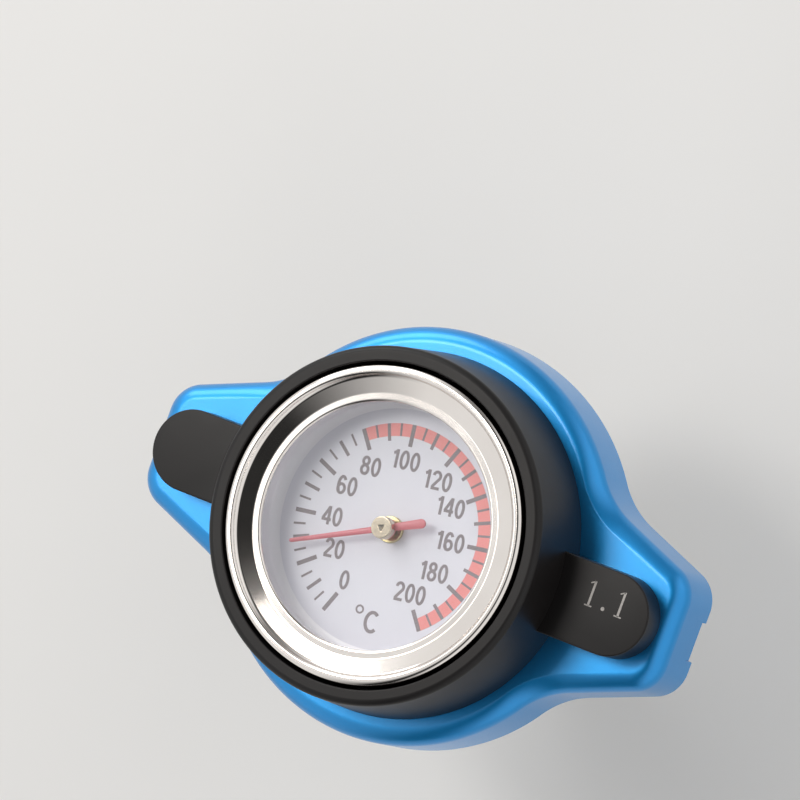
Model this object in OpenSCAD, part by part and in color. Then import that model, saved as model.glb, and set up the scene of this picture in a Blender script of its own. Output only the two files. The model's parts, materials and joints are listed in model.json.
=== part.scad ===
// Radiator cap with a built-in dial thermometer.
// Millimetres. The origin is on the cap's axis, in the plane where the neck gasket seats on the
// filler neck. +Z points up through the dial and +X runs along the two wings.

/* [Cap body] */
// Diameter of the round part of the cap
body_d = 54.2; // [52.6:0.2:60]
// Thickness of the cap's top, over the bayonet plate
top_t = 2.2; // [1.8:0.1:4]
// How far the cap's rim hangs below the gasket's seat
rim_drop = 4.3; // [3.6:0.1:4.6]
// Height of the whole part, from the probe's tip to the top of the bezel's bead
whole_h = 62.7; // [58:0.1:78]
// How far below the flat top the straight side wall ends
edge_drop = 3; // [2.7:0.1:3.4]
// Width of the rounded outer edge over the side wall
edge_w = 0.9; // [0.7:0.1:1.2]
// Height of that rounded edge
edge_h = 1.8; // [1.5:0.1:2.1]
// Width of the soft cove between the rounded edge and the flat top
cove_w = 1.4; // [1.2:0.05:2]
// Slope at the foot of the cove, as rise over run
cove_slope = 0.05; // [0.05:0.05:0.3]
// Chamfer on the lower rim
rim_chamfer = 0.3; // [0.1:0.1:0.6]

/* [Wings] */
// Span of the cap from wing end to wing end
wing_span = 77.8; // [76:0.2:92]
// Width across a wing's two flanks where they reach its end
wing_end_w = 14.4; // [13:0.1:18]
// Angle between a flank and the length of the wing, in degrees
wing_taper = 21; // [14:0.5:24]
// Radius of a wing's outer corners
wing_corner_r = 4.5; // [3.5:0.1:6]
// Radius of the hollow curve from a wing into the round part
wing_root_r = 12; // [6:0.5:14]
// Wall round the hollow in the underside of a wing
wing_wall = 2.4; // [1.8:0.1:3]
// Thickness of a wing over its hollow
wing_roof = 2.8; // [2.2:0.1:3.4]
// Corner radius of the hollow
hollow_corner_r = 2.5; // [1.5:0.1:3]
// Width of the notch in the lower edge of a wing's end
notch_w = 5.2; // [3:0.1:7]
// Height of that notch
notch_h = 2.4; // [1:0.1:4]
// Depth of that notch
notch_depth = 0.5; // [0.2:0.1:1]

/* [Gauge cover] */
// Gap between the bezel and the cover round it
cover_gap = 0.65; // [0.4:0.05:1]
// Thickness of the cover's wall at its rim
cover_wall = 1.8; // [1.2:0.1:2.4]
// How far the cover's wall spreads from its rim down to its foot
cover_flare = 0.8; // [0.2:0.1:1.4]
// Thickness of the cover's floor
cover_floor_t = 2.1; // [1.6:0.1:4]
// Radius of the cover's rounded rim
cover_rim_r = 0.7; // [0.2:0.1:0.9]
// Width of the cover's two tongues
tongue_w = 10.8; // [8:0.1:11.4]
// Span of the cover from tongue end to tongue end
tongue_span = 73.6; // [66:0.2:74]
// Height of the tongues over the cap's top
tongue_h = 4.1; // [3:0.1:6]
// Radius of the tongues' top edge
tongue_edge_r = 0.5; // [0.2:0.1:1]
// Diameter of the locating peg under each tongue
peg_d = 3; // [2:0.1:4]
// Length of the locating peg
peg_l = 1.8; // [1:0.1:2]

/* [Gauge] */
// Outer diameter of the gauge's steel case
case_d = 40; // [38:0.1:40.4]
// Thickness of the case's sheet and of the dial
sheet_t = 0.6; // [0.4:0.05:0.8]
// Width of the case's ledge that carries the dial
ledge_w = 4.4; // [3:0.1:6]
// Depth of the sunk middle below the dial's ledge
well_depth = 2.6; // [2.2:0.1:4]
// Width of the bezel's wall round the case
bezel_wall = 0.55; // [0.4:0.05:0.6]
// Length of the bezel's wall below the crystal's top
bezel_skirt = 3; // [1.5:0.1:4]
// Width of the bezel from its outside to the window
bezel_w = 4.65; // [4:0.05:5.2]
// Height of the bezel's bead over the crystal
bead_h = 1.4; // [1:0.1:2]
// Width of the bezel's bead
bead_w = 1.3; // [1:0.1:1.6]
// Depth of the valley between the bezel's bead and its lip
valley_depth = 0.35; // [0.1:0.05:0.45]
// Thickness of the bezel's lip
lip_t = 0.6; // [0.4:0.05:0.8]
// Width of the bezel's lip
lip_w = 1.1; // [0.8:0.1:1.4]
// Thickness of the glass
crystal_t = 1.5; // [1:0.1:2.5]
// Thickness of the rubber ring under the glass
crystal_gasket_t = 0.6; // [0.4:0.1:1]
// Height of the white ring between dial and glass
spacer_h = 3.5; // [3.5:0.1:6]
// Wall of the white ring
spacer_wall = 2.45; // [1.6:0.05:3]
// Radius of the hollow curve at the white ring's foot
spacer_foot_r = 1.2; // [0.4:0.1:1.6]

/* [Pointer] */
// Turn of the dial on the cap, seen from above, in degrees
dial_turn = 8.1; // [-30:0.1:30]
// Angle of the pointer on the dial at rest, in degrees from three o'clock
pointer_rest = 198; // [60:1:240]
// Length of the pointer from the axis to its tip
pointer_l = 13.4; // [10:0.1:14.5]
// Length of the pointer's tail
tail_l = 5.6; // [4:0.1:8]
// Width of the pointer's tip
tip_w = 0.5; // [0.3:0.05:0.8]
// Width of the pointer at its hub
root_w = 0.85; // [0.6:0.05:1.2]
// Width of the pointer's tail end
tail_w = 1.2; // [0.8:0.05:1.8]
// Thickness of the pointer
pointer_t = 0.3; // [0.2:0.05:0.5]
// Height of the pointer over the dial
pointer_z = 1.8; // [1.6:0.1:2]
// Diameter of the pointer's hub button
hub_d = 2.9; // [2.4:0.1:4]
// Height of the hub button over the pointer
hub_h = 1.2; // [0.8:0.1:1.3]
// Width of the dent that stakes the hub button to its shaft
stake_w = 1.1; // [0.6:0.1:1.4]
// Depth of that dent
stake_depth = 0.25; // [0.1:0.05:0.4]
// Diameter of the pointer's shaft
shaft_d = 1.2; // [0.8:0.1:1.6]
// Diameter of the brass collar on the dial
collar_d = 3.5; // [3:0.1:5]
// Height of the brass collar on the dial
collar_h = 0.6; // [0.3:0.1:1]
// Width of the step by which the collar rests on the dial
collar_step = 0.5; // [0.3:0.05:0.7]
// Width of the step by which the hub button rests on the pointer
hub_step = 0.45; // [0.3:0.05:0.5]

/* [Stem and probe] */
// Diameter of the threaded stem that clamps the gauge to the cap
stem_d = 8; // [7.6:0.1:9]
// Diameter of the stem's flange inside the case
stem_flange_d = 12; // [10:0.1:16]
// Thickness of the stem's flange
stem_flange_t = 1.2; // [0.8:0.1:1.6]
// Length of stem that shows below the nut
stem_tail = 1; // [0.4:0.1:1.4]
// Diameter of the probe tube
probe_d = 6; // [5.4:0.1:6.4]
// Wall of the probe tube
probe_wall = 0.6; // [0.4:0.05:0.7]
// Wire of the bimetal coil
coil_wire = 0.6; // [0.4:0.05:0.7]
// Turns of the bimetal coil
coil_turns = 9; // [5:1:12]
// Height of the plug that holds the coil in the probe's tip
anchor_h = 2; // [1:0.1:4]
// Height of the collar that joins the coil to the shaft
coil_collar_h = 2; // [1:0.1:4]
// Depth of that collar's foot below the gasket's seat
coil_top_drop = 21.2; // [15:0.1:25]
// Height of the shaft's guide in the probe
guide_h = 2; // [1:0.1:3]
// Section of the seal ring round the stem
seal_wire = 1.3; // [1:0.1:1.4]

/* [Bayonet] */
// Thickness of the bayonet plate's sheet
plate_t = 1; // [0.8:0.1:1.4]
// Outer radius of the bends in pressed sheet
bend_r = 1.4; // [1.2:0.1:2]
// Outer diameter of the bayonet plate
plate_d = 46; // [45:0.1:46.4]
// Height from the gasket's seat down to the claws
claw_drop = 4.6; // [4:0.1:6]
// Diameter of the circle inside the claws
claw_bore_d = 37.8; // [37.5:0.1:39]
// Width of a claw, in degrees round the axis
claw_sweep = 56; // [30:2:80]
// Diameter of the pins that key the plate to the cap
pin_d = 2; // [1.6:0.1:2.2]
// Number of those pins
pin_count = 4; // [2:1:6]
// Depth of those pins in the cap
pin_depth = 1.2; // [0.8:0.1:1.4]
// Thickness of the spring-steel diaphragm
diaphragm_t = 0.3; // [0.2:0.05:0.5]
// Diameter of the diaphragm
diaphragm_d = 39; // [37.4:0.1:39.2]
// Thickness of the neck gasket
gasket_t = 1.9; // [1.6:0.1:3]
// Outer diameter of the neck gasket
gasket_d = 37.2; // [34:0.1:37.3]
// Inner diameter of the neck gasket
gasket_bore_d = 28.6; // [28.4:0.1:30]
// Thickness of the lock washer
washer_t = 0.8; // [0.5:0.1:1]
// Diameter of the lock washer
washer_d = 14; // [12:0.1:15]
// Size of the stem nut across its flats
nut_af = 13; // [12:0.1:13.4]
// Height of the stem nut
nut_h = 3.5; // [2.5:0.1:4]

/* [Pressure valve] */
// Depth of the valve seal's face below the gasket's seat
valve_depth = 22.8; // [22:0.1:28]
// Travel of the pressure valve
lift = 2.5; // [1.5:0.1:2.8]
// Diameter of the valve seal
seal_d = 28; // [27.4:0.1:28.2]
// Thickness of the valve seal
seal_t = 2.2; // [1.5:0.1:2.6]
// Thickness of the sheet of the valve's bell and plate
valve_sheet = 0.8; // [0.6:0.1:1]
// Outer diameter of the bell
bell_d = 16.8; // [15.6:0.1:17.2]
// Diameter of the bell's flange
bell_flange_d = 25.2; // [24:0.1:25.6]
// Thickness of the crimped edge that grips the bell's flange
crimp_t = 0.6; // [0.4:0.05:0.8]
// Depth of the bell's top below the gasket's seat
bell_top_drop = 7; // [6.8:0.1:7.4]
// Length of the bell's hub on the probe
bell_hub_l = 2.4; // [1.6:0.1:3]
// Wall of the bell's hub
bell_hub_wall = 1.5; // [1:0.1:2]
// Diameter of the ports in the bell
port_d = 3.2; // [2:0.1:4]
// Number of ports in the bell
port_count = 4; // [3:1:6]
// Thickness of the clip that holds the bell
clip_t = 0.7; // [0.5:0.1:1]
// Diameter of the clip
clip_d = 10.4; // [9:0.1:12]
// Opening of the clip's mouth, in degrees round the probe
clip_mouth = 60; // [40:5:90]
// Depth of the clip's groove in the probe
clip_groove = 0.25; // [0.1:0.05:0.3]
// Wire of the pressure spring
spring_wire = 1.8; // [1.4:0.1:2]
// Mean diameter of the pressure spring
spring_d = 20.4; // [20:0.1:21]
// Turns of the pressure spring
spring_turns = 5.5; // [4.5:0.5:6]
// Thickness of the spring's upper seat
seat_t = 0.5; // [0.4:0.1:0.8]
// Height of the seat's lip inside the spring
seat_lip_h = 2.1; // [1:0.1:3]

/* [Vacuum valve] */
// Travel of the vacuum valve
vacuum_travel = 2; // [1:0.1:2.4]
// Diameter of the vacuum valve's disc
vacuum_d = 17; // [14:0.1:20]
// Thickness of the vacuum valve's disc
vacuum_t = 1; // [0.6:0.1:2]
// Wall of the vacuum valve's stem
vacuum_wall = 0.95; // [0.7:0.05:1.2]
// Gap for the coolant round that stem
flow_gap = 0.6; // [0.4:0.05:0.8]
// Wire of the vacuum spring
vacuum_wire = 0.7; // [0.5:0.05:0.8]
// Turns of the vacuum spring
vacuum_turns = 3; // [2:0.5:3]
// Thickness of the keeper on the vacuum valve's stem
keeper_t = 0.8; // [0.5:0.1:1]

/* [Fits] */
// Radial clearance of a shaft or sleeve that moves in its bearing
run_fit = 0.05; // [0.02:0.01:0.1]
// Radial clearance of a piece that drops into its place
drop_fit = 0.15; // [0.05:0.01:0.2]
// Gap between faces that slide or lift off each other
face_gap = 0.06; // [0.03:0.01:0.1]
// Gap kept round pieces that pass each other in use
pass_gap = 0.4; // [0.2:0.05:0.5]
// Gap between a spring or its seat and the piece it surrounds
guide_gap = 0.6; // [0.4:0.05:0.8]
// How far a spring's keeper reaches past the spring's wire
seat_margin = 0.2; // [0.1:0.05:0.4]
// Gap between the bayonet plate's skirt and the cap
skirt_gap = 0.3; // [0.1:0.05:0.5]

/* [Hidden] */
$fn = 96;
eps = 0.01;
past = 1;

// Heights in the cap, up from the gasket's seat
rim_z = -rim_drop;
diaphragm_z = gasket_t;
plate_z = diaphragm_z + diaphragm_t;
under_z = plate_z + plate_t;
top_z = under_z + top_t;
wall_top_z = top_z - edge_drop;

// Where the rounded edge runs into the cove, and how fast the cove's slope grows above it
edge_turn = atan(edge_h / (edge_w * cove_slope));
cove_in = edge_w * (1 - cos(edge_turn));
cove_z = wall_top_z + edge_h * sin(edge_turn);
cove_growth = 6 * (top_z - cove_z) / cove_w - 3 * cove_slope;

// Heights in the gauge
case_z = top_z + cover_floor_t;
dial_z = case_z + well_depth;
dial_face_z = dial_z + sheet_t;
crystal_gasket_z = dial_face_z + spacer_h;
crystal_z = crystal_gasket_z + crystal_gasket_t;
crystal_top_z = crystal_z + crystal_t;
bead_z = crystal_top_z + bead_h;
cover_rim_z = bead_z - cover_rim_r / 2;
tongue_z = top_z + tongue_h;
stem_top_z = case_z + sheet_t + stem_flange_t;
pointer_foot_z = dial_face_z + pointer_z;
shaft_top_z = pointer_foot_z + pointer_t + hub_h / 2;

// Heights under the cap
washer_z = diaphragm_z - washer_t;
nut_z = washer_z - nut_h;
stem_foot_z = nut_z - stem_tail;
seat_z = diaphragm_z - face_gap - seat_t;
spring_top_z = seat_z - face_gap;
seal_z = -valve_depth;
valve_plate_z = seal_z + seal_t;
bell_foot_z = valve_plate_z + valve_sheet;
spring_foot_z = bell_foot_z + valve_sheet + face_gap;
bell_top_z = -bell_top_drop;
bell_hub_z = bell_top_z - bell_hub_l;
clip_z = bell_hub_z - face_gap - clip_t;
keeper_top_z = clip_z - lift - pass_gap;
keeper_z = keeper_top_z - keeper_t;
vacuum_top_z = seal_z - face_gap;
probe_z = bead_z - whole_h;
probe_floor_z = probe_z + probe_d / 2;
coil_top_z = -coil_top_drop;

// Radii that more than one piece shares
body_r = body_d / 2;
skirt_r = plate_d / 2;
well_r = skirt_r + skirt_gap;
case_r = case_d / 2;
case_in_r = case_r - sheet_t;
glass_r = case_in_r - drop_fit;
bezel_r = case_r + bezel_wall;
window_r = bezel_r - bezel_w;
spacer_bore_r = glass_r - spacer_wall;
cover_bore_r = bezel_r + cover_gap;
cover_rim_out_r = cover_bore_r + cover_wall;
stem_r = stem_d / 2;
stem_hole_r = stem_r + drop_fit;
probe_r = probe_d / 2;
probe_in_r = probe_r - probe_wall;
shaft_r = shaft_d / 2;
shaft_hole_r = shaft_r + run_fit;
slide_r = probe_r + run_fit;
dial_spigot_r = collar_d / 2 - collar_step;
hub_spigot_r = hub_d / 2 - hub_step;
pin_circle_r = (diaphragm_d / 2 + skirt_r - plate_t) / 2;
seal_ring_r = stem_r + drop_fit + seal_wire / 2;
vacuum_stem_r = slide_r + vacuum_wall;
flow_r = vacuum_stem_r + flow_gap;
vacuum_spring_r = flow_r + guide_gap + vacuum_wire / 2;
keeper_r = vacuum_spring_r + vacuum_wire / 2 + seat_margin;
coil_r = probe_in_r - pass_gap - coil_wire / 2;
crimp_r = bell_flange_d / 2 + crimp_t;
nut_corner_r = nut_af / 2 / cos(30);
seat_in_r = nut_corner_r + guide_gap;
seat_out_r = spring_d / 2 + spring_wire / 2 + pass_gap;

// The wing's flank is the line n.p = flank_d, with n its outward normal
wing_x = wing_span / 2;
flank_n = [sin(wing_taper), cos(wing_taper)];
flank_d = flank_n * [wing_x, wing_end_w / 2];
corner_c = [wing_x - wing_corner_r, flank_y(wing_x - wing_corner_r, wing_corner_r)];
root_dist = body_r + wing_root_r;
root_along = sqrt(root_dist * root_dist - pow(flank_d + wing_root_r, 2));
root_c = (flank_d + wing_root_r) * flank_n + root_along * [flank_n[1], -flank_n[0]];
root_a = atan2(root_c[1], root_c[0]);
hollow_x = [well_r + wing_wall + hollow_corner_r, wing_x - wing_wall - hollow_corner_r];
hollow_top_z = top_z - wing_roof;
peg_x = tongue_span / 2 - tongue_w / 2;

// Steps along the curves of the cap's outline, and along the round and the cove of its edge
corner_steps = 6;
root_steps = 6;
round_steps = 12;
edge_steps = 5;
cove_steps = 4;

// Rings to a turn and sides of a wound wire
turn_rings = 8;
wire_sides = 6;
// Part of a turn at each end of a spring that winds close, and the gap it leaves
close_turns = 1;
close_gap = 0.55;

// Half-width of a wing at x, drawn in by a margin square to its flank
function flank_y(x, margin) = (flank_d - margin - flank_n[0] * x) / flank_n[1];

// Height of the cove at a share u of its width. Its slope is (1 - u) * (cove_slope + cove_growth * u).
function cove_at(u) = cove_z
    + cove_w * (cove_slope * u + (cove_growth - cove_slope) * u * u / 2 - cove_growth * u * u * u / 3);

// The edge's section, from the rim up: how far it lies inside the outline, and its height
edge = concat(
    [[rim_chamfer + past / 2, rim_z - past / 2], [0, rim_z + rim_chamfer]],
    [for (i = [0:edge_steps]) let (a = edge_turn * i / edge_steps)
        [edge_w * (1 - cos(a)), wall_top_z + edge_h * sin(a)]],
    [for (i = [1:cove_steps]) let (u = i / (cove_steps + 1)) [cove_in + cove_w * u, cove_at(u)]],
    [[cove_in + cove_w * (cove_steps + 2) / (cove_steps + 1),
        2 * top_z - cove_at(cove_steps / (cove_steps + 1))]]
);

// Skin faces between rings of n points; closed ends, seen clockwise from outside
function skin(n, rings) = concat(
    [[for (i = [0:n - 1]) i]],
    [for (j = [0:rings - 2]) for (i = [0:n - 1]) let (k = (i + 1) % n)
        [j * n + i, (j + 1) * n + i, (j + 1) * n + k]],
    [for (j = [0:rings - 2]) for (i = [0:n - 1]) let (k = (i + 1) % n)
        [j * n + i, (j + 1) * n + k, j * n + k]],
    [[for (i = [n - 1:-1:0]) (rings - 1) * n + i]]
);

// Share of the climb done after t turns of a wire that winds close at both ends
function climb(t, turns, slow, fast) =
    t < close_turns ? slow * t
    : t < turns - close_turns ? slow * close_turns + fast * (t - close_turns)
    : slow * (2 * close_turns + t - turns) + fast * (turns - 2 * close_turns);

// Centre line of a compression spring whose wire lies between two seats
function spring_path(r, z0, z1, turns, wire) =
    let (half = wire / 2 * sin(60), slow = wire + close_gap, rise = z1 - z0 - 2 * half)
    let (fast = (rise - 2 * close_turns * slow) / (turns - 2 * close_turns))
    [for (i = [0:turns * turn_rings]) let (t = i / turn_rings, a = 360 * t)
        [r * cos(a), r * sin(a), z0 + half + climb(t, turns, slow, fast)]];

// Centre line of a helix with one even pitch
function helix_path(r, z0, z1, turns) =
    [for (i = [0:turns * turn_rings]) let (t = i / turn_rings, a = 360 * t)
        [r * cos(a), r * sin(a), z0 + (z1 - z0) * t / turns]];

// Least gap of a wound wire to itself, between points at least half a turn apart
function self_gap(path, wire) = min([
    for (i = [0:len(path) - 1])
        for (j = [i + turn_rings / 2:1:len(path) - 1]) norm(path[i] - path[j])
]) - wire;

// A wire with a six-sided section along a path that winds round Z
module wound_wire(path, wire) {
    rings = [for (p = path) let (u = [p[0], p[1]] / norm([p[0], p[1]]))
        for (k = [0:wire_sides - 1]) let (a = -360 * k / wire_sides)
            [p[0] + wire / 2 * cos(a) * u[0], p[1] + wire / 2 * cos(a) * u[1],
             p[2] + wire / 2 * sin(a)]];
    polyhedron(rings, skin(wire_sides, len(path)));
}

// A ring between two radii and two heights
module ring(r0, r1, z0, z1) {
    rotate_extrude() translate([r0, z0]) square([r1 - r0, z1 - z0]);
}

// The section of pressed sheet from the axis out to r, with a bend where its top turns down
module pressed_section(r, z0, z1, bend) {
    translate([0, z0]) {
        square([r - bend, z1 - z0]);
        square([r, z1 - z0 - bend]);
        translate([r - bend, z1 - z0 - bend]) circle(bend);
    }
}

// A cup of pressed sheet, open below, with a hole through its top
module pressed_cup(hole_r, r, z0, z1, sheet) {
    rotate_extrude() difference() {
        pressed_section(r, z0, z1, bend_r);
        pressed_section(r - sheet, z0 - past, z1 - sheet, bend_r - sheet);
        translate([0, z0 - past]) square([hole_r, z1 - z0 + 2 * past]);
    }
}

module each_wing() {
    for (a = [0, 180]) rotate([0, 0, a]) children();
}

// Points of an arc, each with the direction that faces out of the cap
function arc(c, r, a0, a1, steps, side) = [
    for (i = [0:steps]) let (a = a0 + (a1 - a0) * i / steps, u = [cos(a), sin(a)]) [c + r * u, side * u]
];

// The cap's outline from the +X axis round to the +Y axis: wing end, corner, flank, root, round
round_arc = arc([0, 0], body_r, root_a, 90, round_steps, 1);
quarter = concat(
    [[[wing_x, 0], [1, 0]]],
    arc(corner_c, wing_corner_r, 0, 90 - wing_taper, corner_steps, 1),
    arc(root_c, wing_root_r, 270 - wing_taper, 180 + root_a, root_steps, -1),
    [for (i = [1:round_steps]) round_arc[i]]
);
last = len(quarter) - 1;

function flip(p, sx, sy) = [[sx * p[0][0], sy * p[0][1]], [sx * p[1][0], sy * p[1][1]]];

outline = concat(
    quarter,
    [for (i = [last - 1:-1:0]) flip(quarter[i], -1, 1)],
    [for (i = [1:last]) flip(quarter[i], -1, -1)],
    [for (i = [last - 1:-1:1]) flip(quarter[i], 1, -1)]
);

// The edge's section follows the outline. It runs on past the rim and the top, which a slab cuts flat.
module cap_solid() {
    points = [for (e = edge) for (p = outline) let (q = p[0] - e[0] * p[1]) [q[0], q[1], e[1]]];
    intersection() {
        polyhedron(points, skin(len(outline), len(edge)));
        translate([-wing_span, -wing_span, rim_z])
            cube([2 * wing_span, 2 * wing_span, top_z - rim_z]);
    }
}

// The hollow in a wing's underside: straight walls along the flanks, with round corners
module wing_hollow() {
    r = hollow_corner_r;
    corners = [for (x = hollow_x) [x, flank_y(x, wing_wall + r)]];
    half = concat(
        arc(corners[1], r, 0, 90 - wing_taper, corner_steps, 1),
        arc(corners[0], r, 90 - wing_taper, 180, corner_steps, 1)
    );
    far = len(half) - 1;
    points = concat([for (p = half) p[0]], [for (i = [far:-1:0]) [half[i][0][0], -half[i][0][1]]]);
    translate([0, 0, rim_z - past]) linear_extrude(hollow_top_z - rim_z + past) polygon(points);
}

module at_pins() {
    for (i = [0:pin_count - 1]) rotate([0, 0, 360 * (i + 0.5) / pin_count])
        translate([pin_circle_r, 0, 0]) children();
}

module cap_body() {
    color("#1e8fdc") difference() {
        cap_solid();
        translate([0, 0, rim_z - past]) cylinder(r = well_r, h = under_z - rim_z + past);
        translate([0, 0, under_z - past]) cylinder(r = stem_hole_r, h = top_t + 2 * past);
        translate([0, 0, top_z - seal_wire])
            cylinder(r = seal_ring_r + seal_wire / 2 + eps, h = seal_wire + past);
        at_pins() translate([0, 0, under_z - past]) cylinder(d = pin_d, h = pin_depth + past);
        each_wing() {
            wing_hollow();
            translate([peg_x, 0, top_z - peg_l - drop_fit])
                cylinder(d = peg_d + 2 * drop_fit, h = peg_l + drop_fit + past);
            translate([wing_x - notch_depth, -notch_w / 2, rim_z - past])
                cube([notch_depth + past, notch_w, notch_h + past]);
        }
    }
}

// A tongue: a bar with rounded top edges that ends in a round of the same section
module tongue_section() {
    half = tongue_w / 2;
    square([half, tongue_h - tongue_edge_r]);
    square([half - tongue_edge_r, tongue_h]);
    translate([half - tongue_edge_r, tongue_h - tongue_edge_r]) circle(tongue_edge_r);
}

module tongue() {
    bar_x = cover_bore_r + cover_wall / 2;
    translate([peg_x, 0, top_z]) rotate_extrude() tongue_section();
    translate([bar_x, 0, top_z]) rotate([90, 0, 90]) linear_extrude(peg_x - bar_x) {
        tongue_section();
        mirror([1, 0]) tongue_section();
    }
    translate([peg_x, 0, top_z - peg_l]) cylinder(d = peg_d, h = peg_l + eps);
}

module gauge_cover() {
    bore_r = cover_bore_r;
    rim_r = cover_rim_out_r;
    color("#2b2626") {
        rotate_extrude() {
            polygon([
                [stem_hole_r, top_z], [rim_r + cover_flare, top_z], [rim_r, cover_rim_z - cover_rim_r],
                [rim_r - cover_rim_r, cover_rim_z], [bore_r, cover_rim_z], [bore_r, case_z],
                [stem_hole_r, case_z]
            ]);
            translate([rim_r - cover_rim_r, cover_rim_z - cover_rim_r]) circle(cover_rim_r);
        }
        each_wing() tongue();
    }
}

module gauge_case() {
    foot_r = case_r - ledge_w;
    color("silver") {
        ring(stem_hole_r, foot_r, case_z, case_z + sheet_t);
        ring(foot_r - sheet_t, foot_r, case_z, dial_z);
        ring(foot_r - sheet_t, case_r, dial_z - sheet_t, dial_z);
        ring(case_in_r, case_r, dial_z - sheet_t, crystal_top_z);
    }
}

// A bead and a lip with a rolled valley between them. The valley is an arc from one to the other.
module bezel_ring() {
    bead_r = bead_w / 2;
    bead_c = [bezel_r - bead_r, bead_z - bead_r];
    lip_z = crystal_top_z + lip_t;
    lip_c = [window_r + lip_t / 2, lip_z - lip_t / 2];
    skirt_z = crystal_top_z - bezel_skirt;
    bead_in = bead_c - [bead_r, 0];
    lip_out = [window_r + lip_w, lip_z];
    chord = bead_in - lip_out;
    half = norm(chord) / 2;
    valley_r = (half * half + valley_depth * valley_depth) / (2 * valley_depth);
    valley_c = lip_out + chord / 2 + [-chord[1], chord[0]] / norm(chord) * (valley_r - valley_depth);
    color("#dcdcdc") rotate_extrude() {
        translate(bead_c) circle(bead_r);
        translate(lip_c) circle(lip_t / 2);
        difference() {
            polygon([
                [lip_c[0], crystal_top_z], [case_r, crystal_top_z], [case_r, skirt_z],
                [bezel_r, skirt_z], [bezel_r, bead_c[1]], bead_in, lip_out, [lip_c[0], lip_z]
            ]);
            translate(valley_c) circle(valley_r);
        }
    }
}

module crystal() {
    color("#e8f0f2", 0.35) translate([0, 0, crystal_z]) cylinder(r = glass_r, h = crystal_t);
}

module crystal_gasket() {
    color("#202020") ring(spacer_bore_r + lip_t, glass_r, crystal_gasket_z, crystal_z);
}

module dial_spacer() {
    foot_in_r = spacer_bore_r - spacer_foot_r;
    color("white") rotate_extrude() {
        translate([spacer_bore_r, dial_face_z]) square([spacer_wall, spacer_h]);
        difference() {
            translate([foot_in_r, dial_face_z]) square([spacer_foot_r + eps, spacer_foot_r]);
            translate([foot_in_r, dial_face_z + spacer_foot_r]) circle(spacer_foot_r);
        }
    }
}

module dial_plate() {
    color("#d8d8e2") ring(dial_spigot_r + drop_fit, glass_r, dial_z, dial_face_z);
}

module dial_bush() {
    color("#c8b070") {
        ring(shaft_hole_r, dial_spigot_r, stem_top_z, dial_face_z);
        ring(shaft_hole_r, collar_d / 2, dial_face_z, dial_face_z + collar_h);
    }
}

module pointer() {
    color("#d08088") rotate([0, 0, dial_turn + pointer_rest]) translate([0, 0, pointer_foot_z])
        linear_extrude(pointer_t) difference() {
            union() {
                polygon([
                    [-tail_l + tail_w / 2, -tail_w / 2], [0, -root_w / 2],
                    [pointer_l - tip_w / 2, -tip_w / 2], [pointer_l - tip_w / 2, tip_w / 2],
                    [0, root_w / 2], [-tail_l + tail_w / 2, tail_w / 2]
                ]);
                translate([pointer_l - tip_w / 2, 0]) circle(d = tip_w);
                translate([-tail_l + tail_w / 2, 0]) circle(d = tail_w);
                circle(d = hub_d);
            }
            circle(hub_spigot_r);
        }
}

module pointer_hub() {
    head_z = pointer_foot_z + pointer_t;
    color("#d8ccb0") difference() {
        union() {
            translate([0, 0, pointer_foot_z]) cylinder(r = hub_spigot_r, h = pointer_t + eps);
            translate([0, 0, head_z]) cylinder(d = hub_d, h = hub_h);
        }
        translate([0, 0, pointer_foot_z - past])
            cylinder(r = shaft_r, h = shaft_top_z - pointer_foot_z + past);
        translate([0, 0, head_z + hub_h - stake_depth])
            cylinder(d1 = stake_w / 4, d2 = stake_w, h = stake_depth + eps, $fn = 3);
    }
}

module pointer_shaft() {
    color("#b8b8b8") translate([0, 0, coil_top_z]) cylinder(r = shaft_r, h = shaft_top_z - coil_top_z);
}

module coil_collar() {
    color("#c8b070") ring(shaft_r, coil_r, coil_top_z, coil_top_z + coil_collar_h);
}

coil_foot_z = probe_floor_z + anchor_h + face_gap;
coil_path = helix_path(
    coil_r, coil_foot_z + coil_wire / 2, coil_top_z - face_gap - coil_wire / 2, coil_turns
);

module bimetal_coil() {
    color("#b08a50") wound_wire(coil_path, coil_wire);
}

module coil_anchor() {
    color("#c8b070") translate([0, 0, probe_floor_z]) cylinder(r = probe_in_r, h = anchor_h);
}

module shaft_guide() {
    color("#f0f0e8") ring(shaft_hole_r, probe_in_r, under_z, under_z + guide_h);
}

module stem_bush() {
    flange_z = case_z + sheet_t;
    color("#c8b070") difference() {
        union() {
            translate([0, 0, stem_foot_z]) cylinder(r = stem_r, h = flange_z - stem_foot_z + eps);
            translate([0, 0, flange_z]) cylinder(d = stem_flange_d, h = stem_flange_t);
        }
        translate([0, 0, stem_foot_z - past]) cylinder(r = probe_r, h = flange_z - stem_foot_z + past);
        translate([0, 0, flange_z - past])
            cylinder(r = shaft_r + pass_gap, h = stem_flange_t + 2 * past);
    }
}

module probe_tube() {
    tube_top_z = case_z + sheet_t;
    color("#c0c0c4") difference() {
        union() {
            translate([0, 0, probe_floor_z]) cylinder(r = probe_r, h = tube_top_z - probe_floor_z);
            translate([0, 0, probe_floor_z]) sphere(probe_r);
        }
        translate([0, 0, probe_floor_z]) cylinder(r = probe_in_r, h = tube_top_z - probe_floor_z + past);
        ring(probe_r - clip_groove, probe_r + past, clip_z, clip_z + clip_t);
    }
}

module stem_seal() {
    color("#202020") translate([0, 0, top_z - seal_wire / 2]) rotate_extrude()
        translate([seal_ring_r, 0]) circle(d = seal_wire - eps);
}

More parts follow.
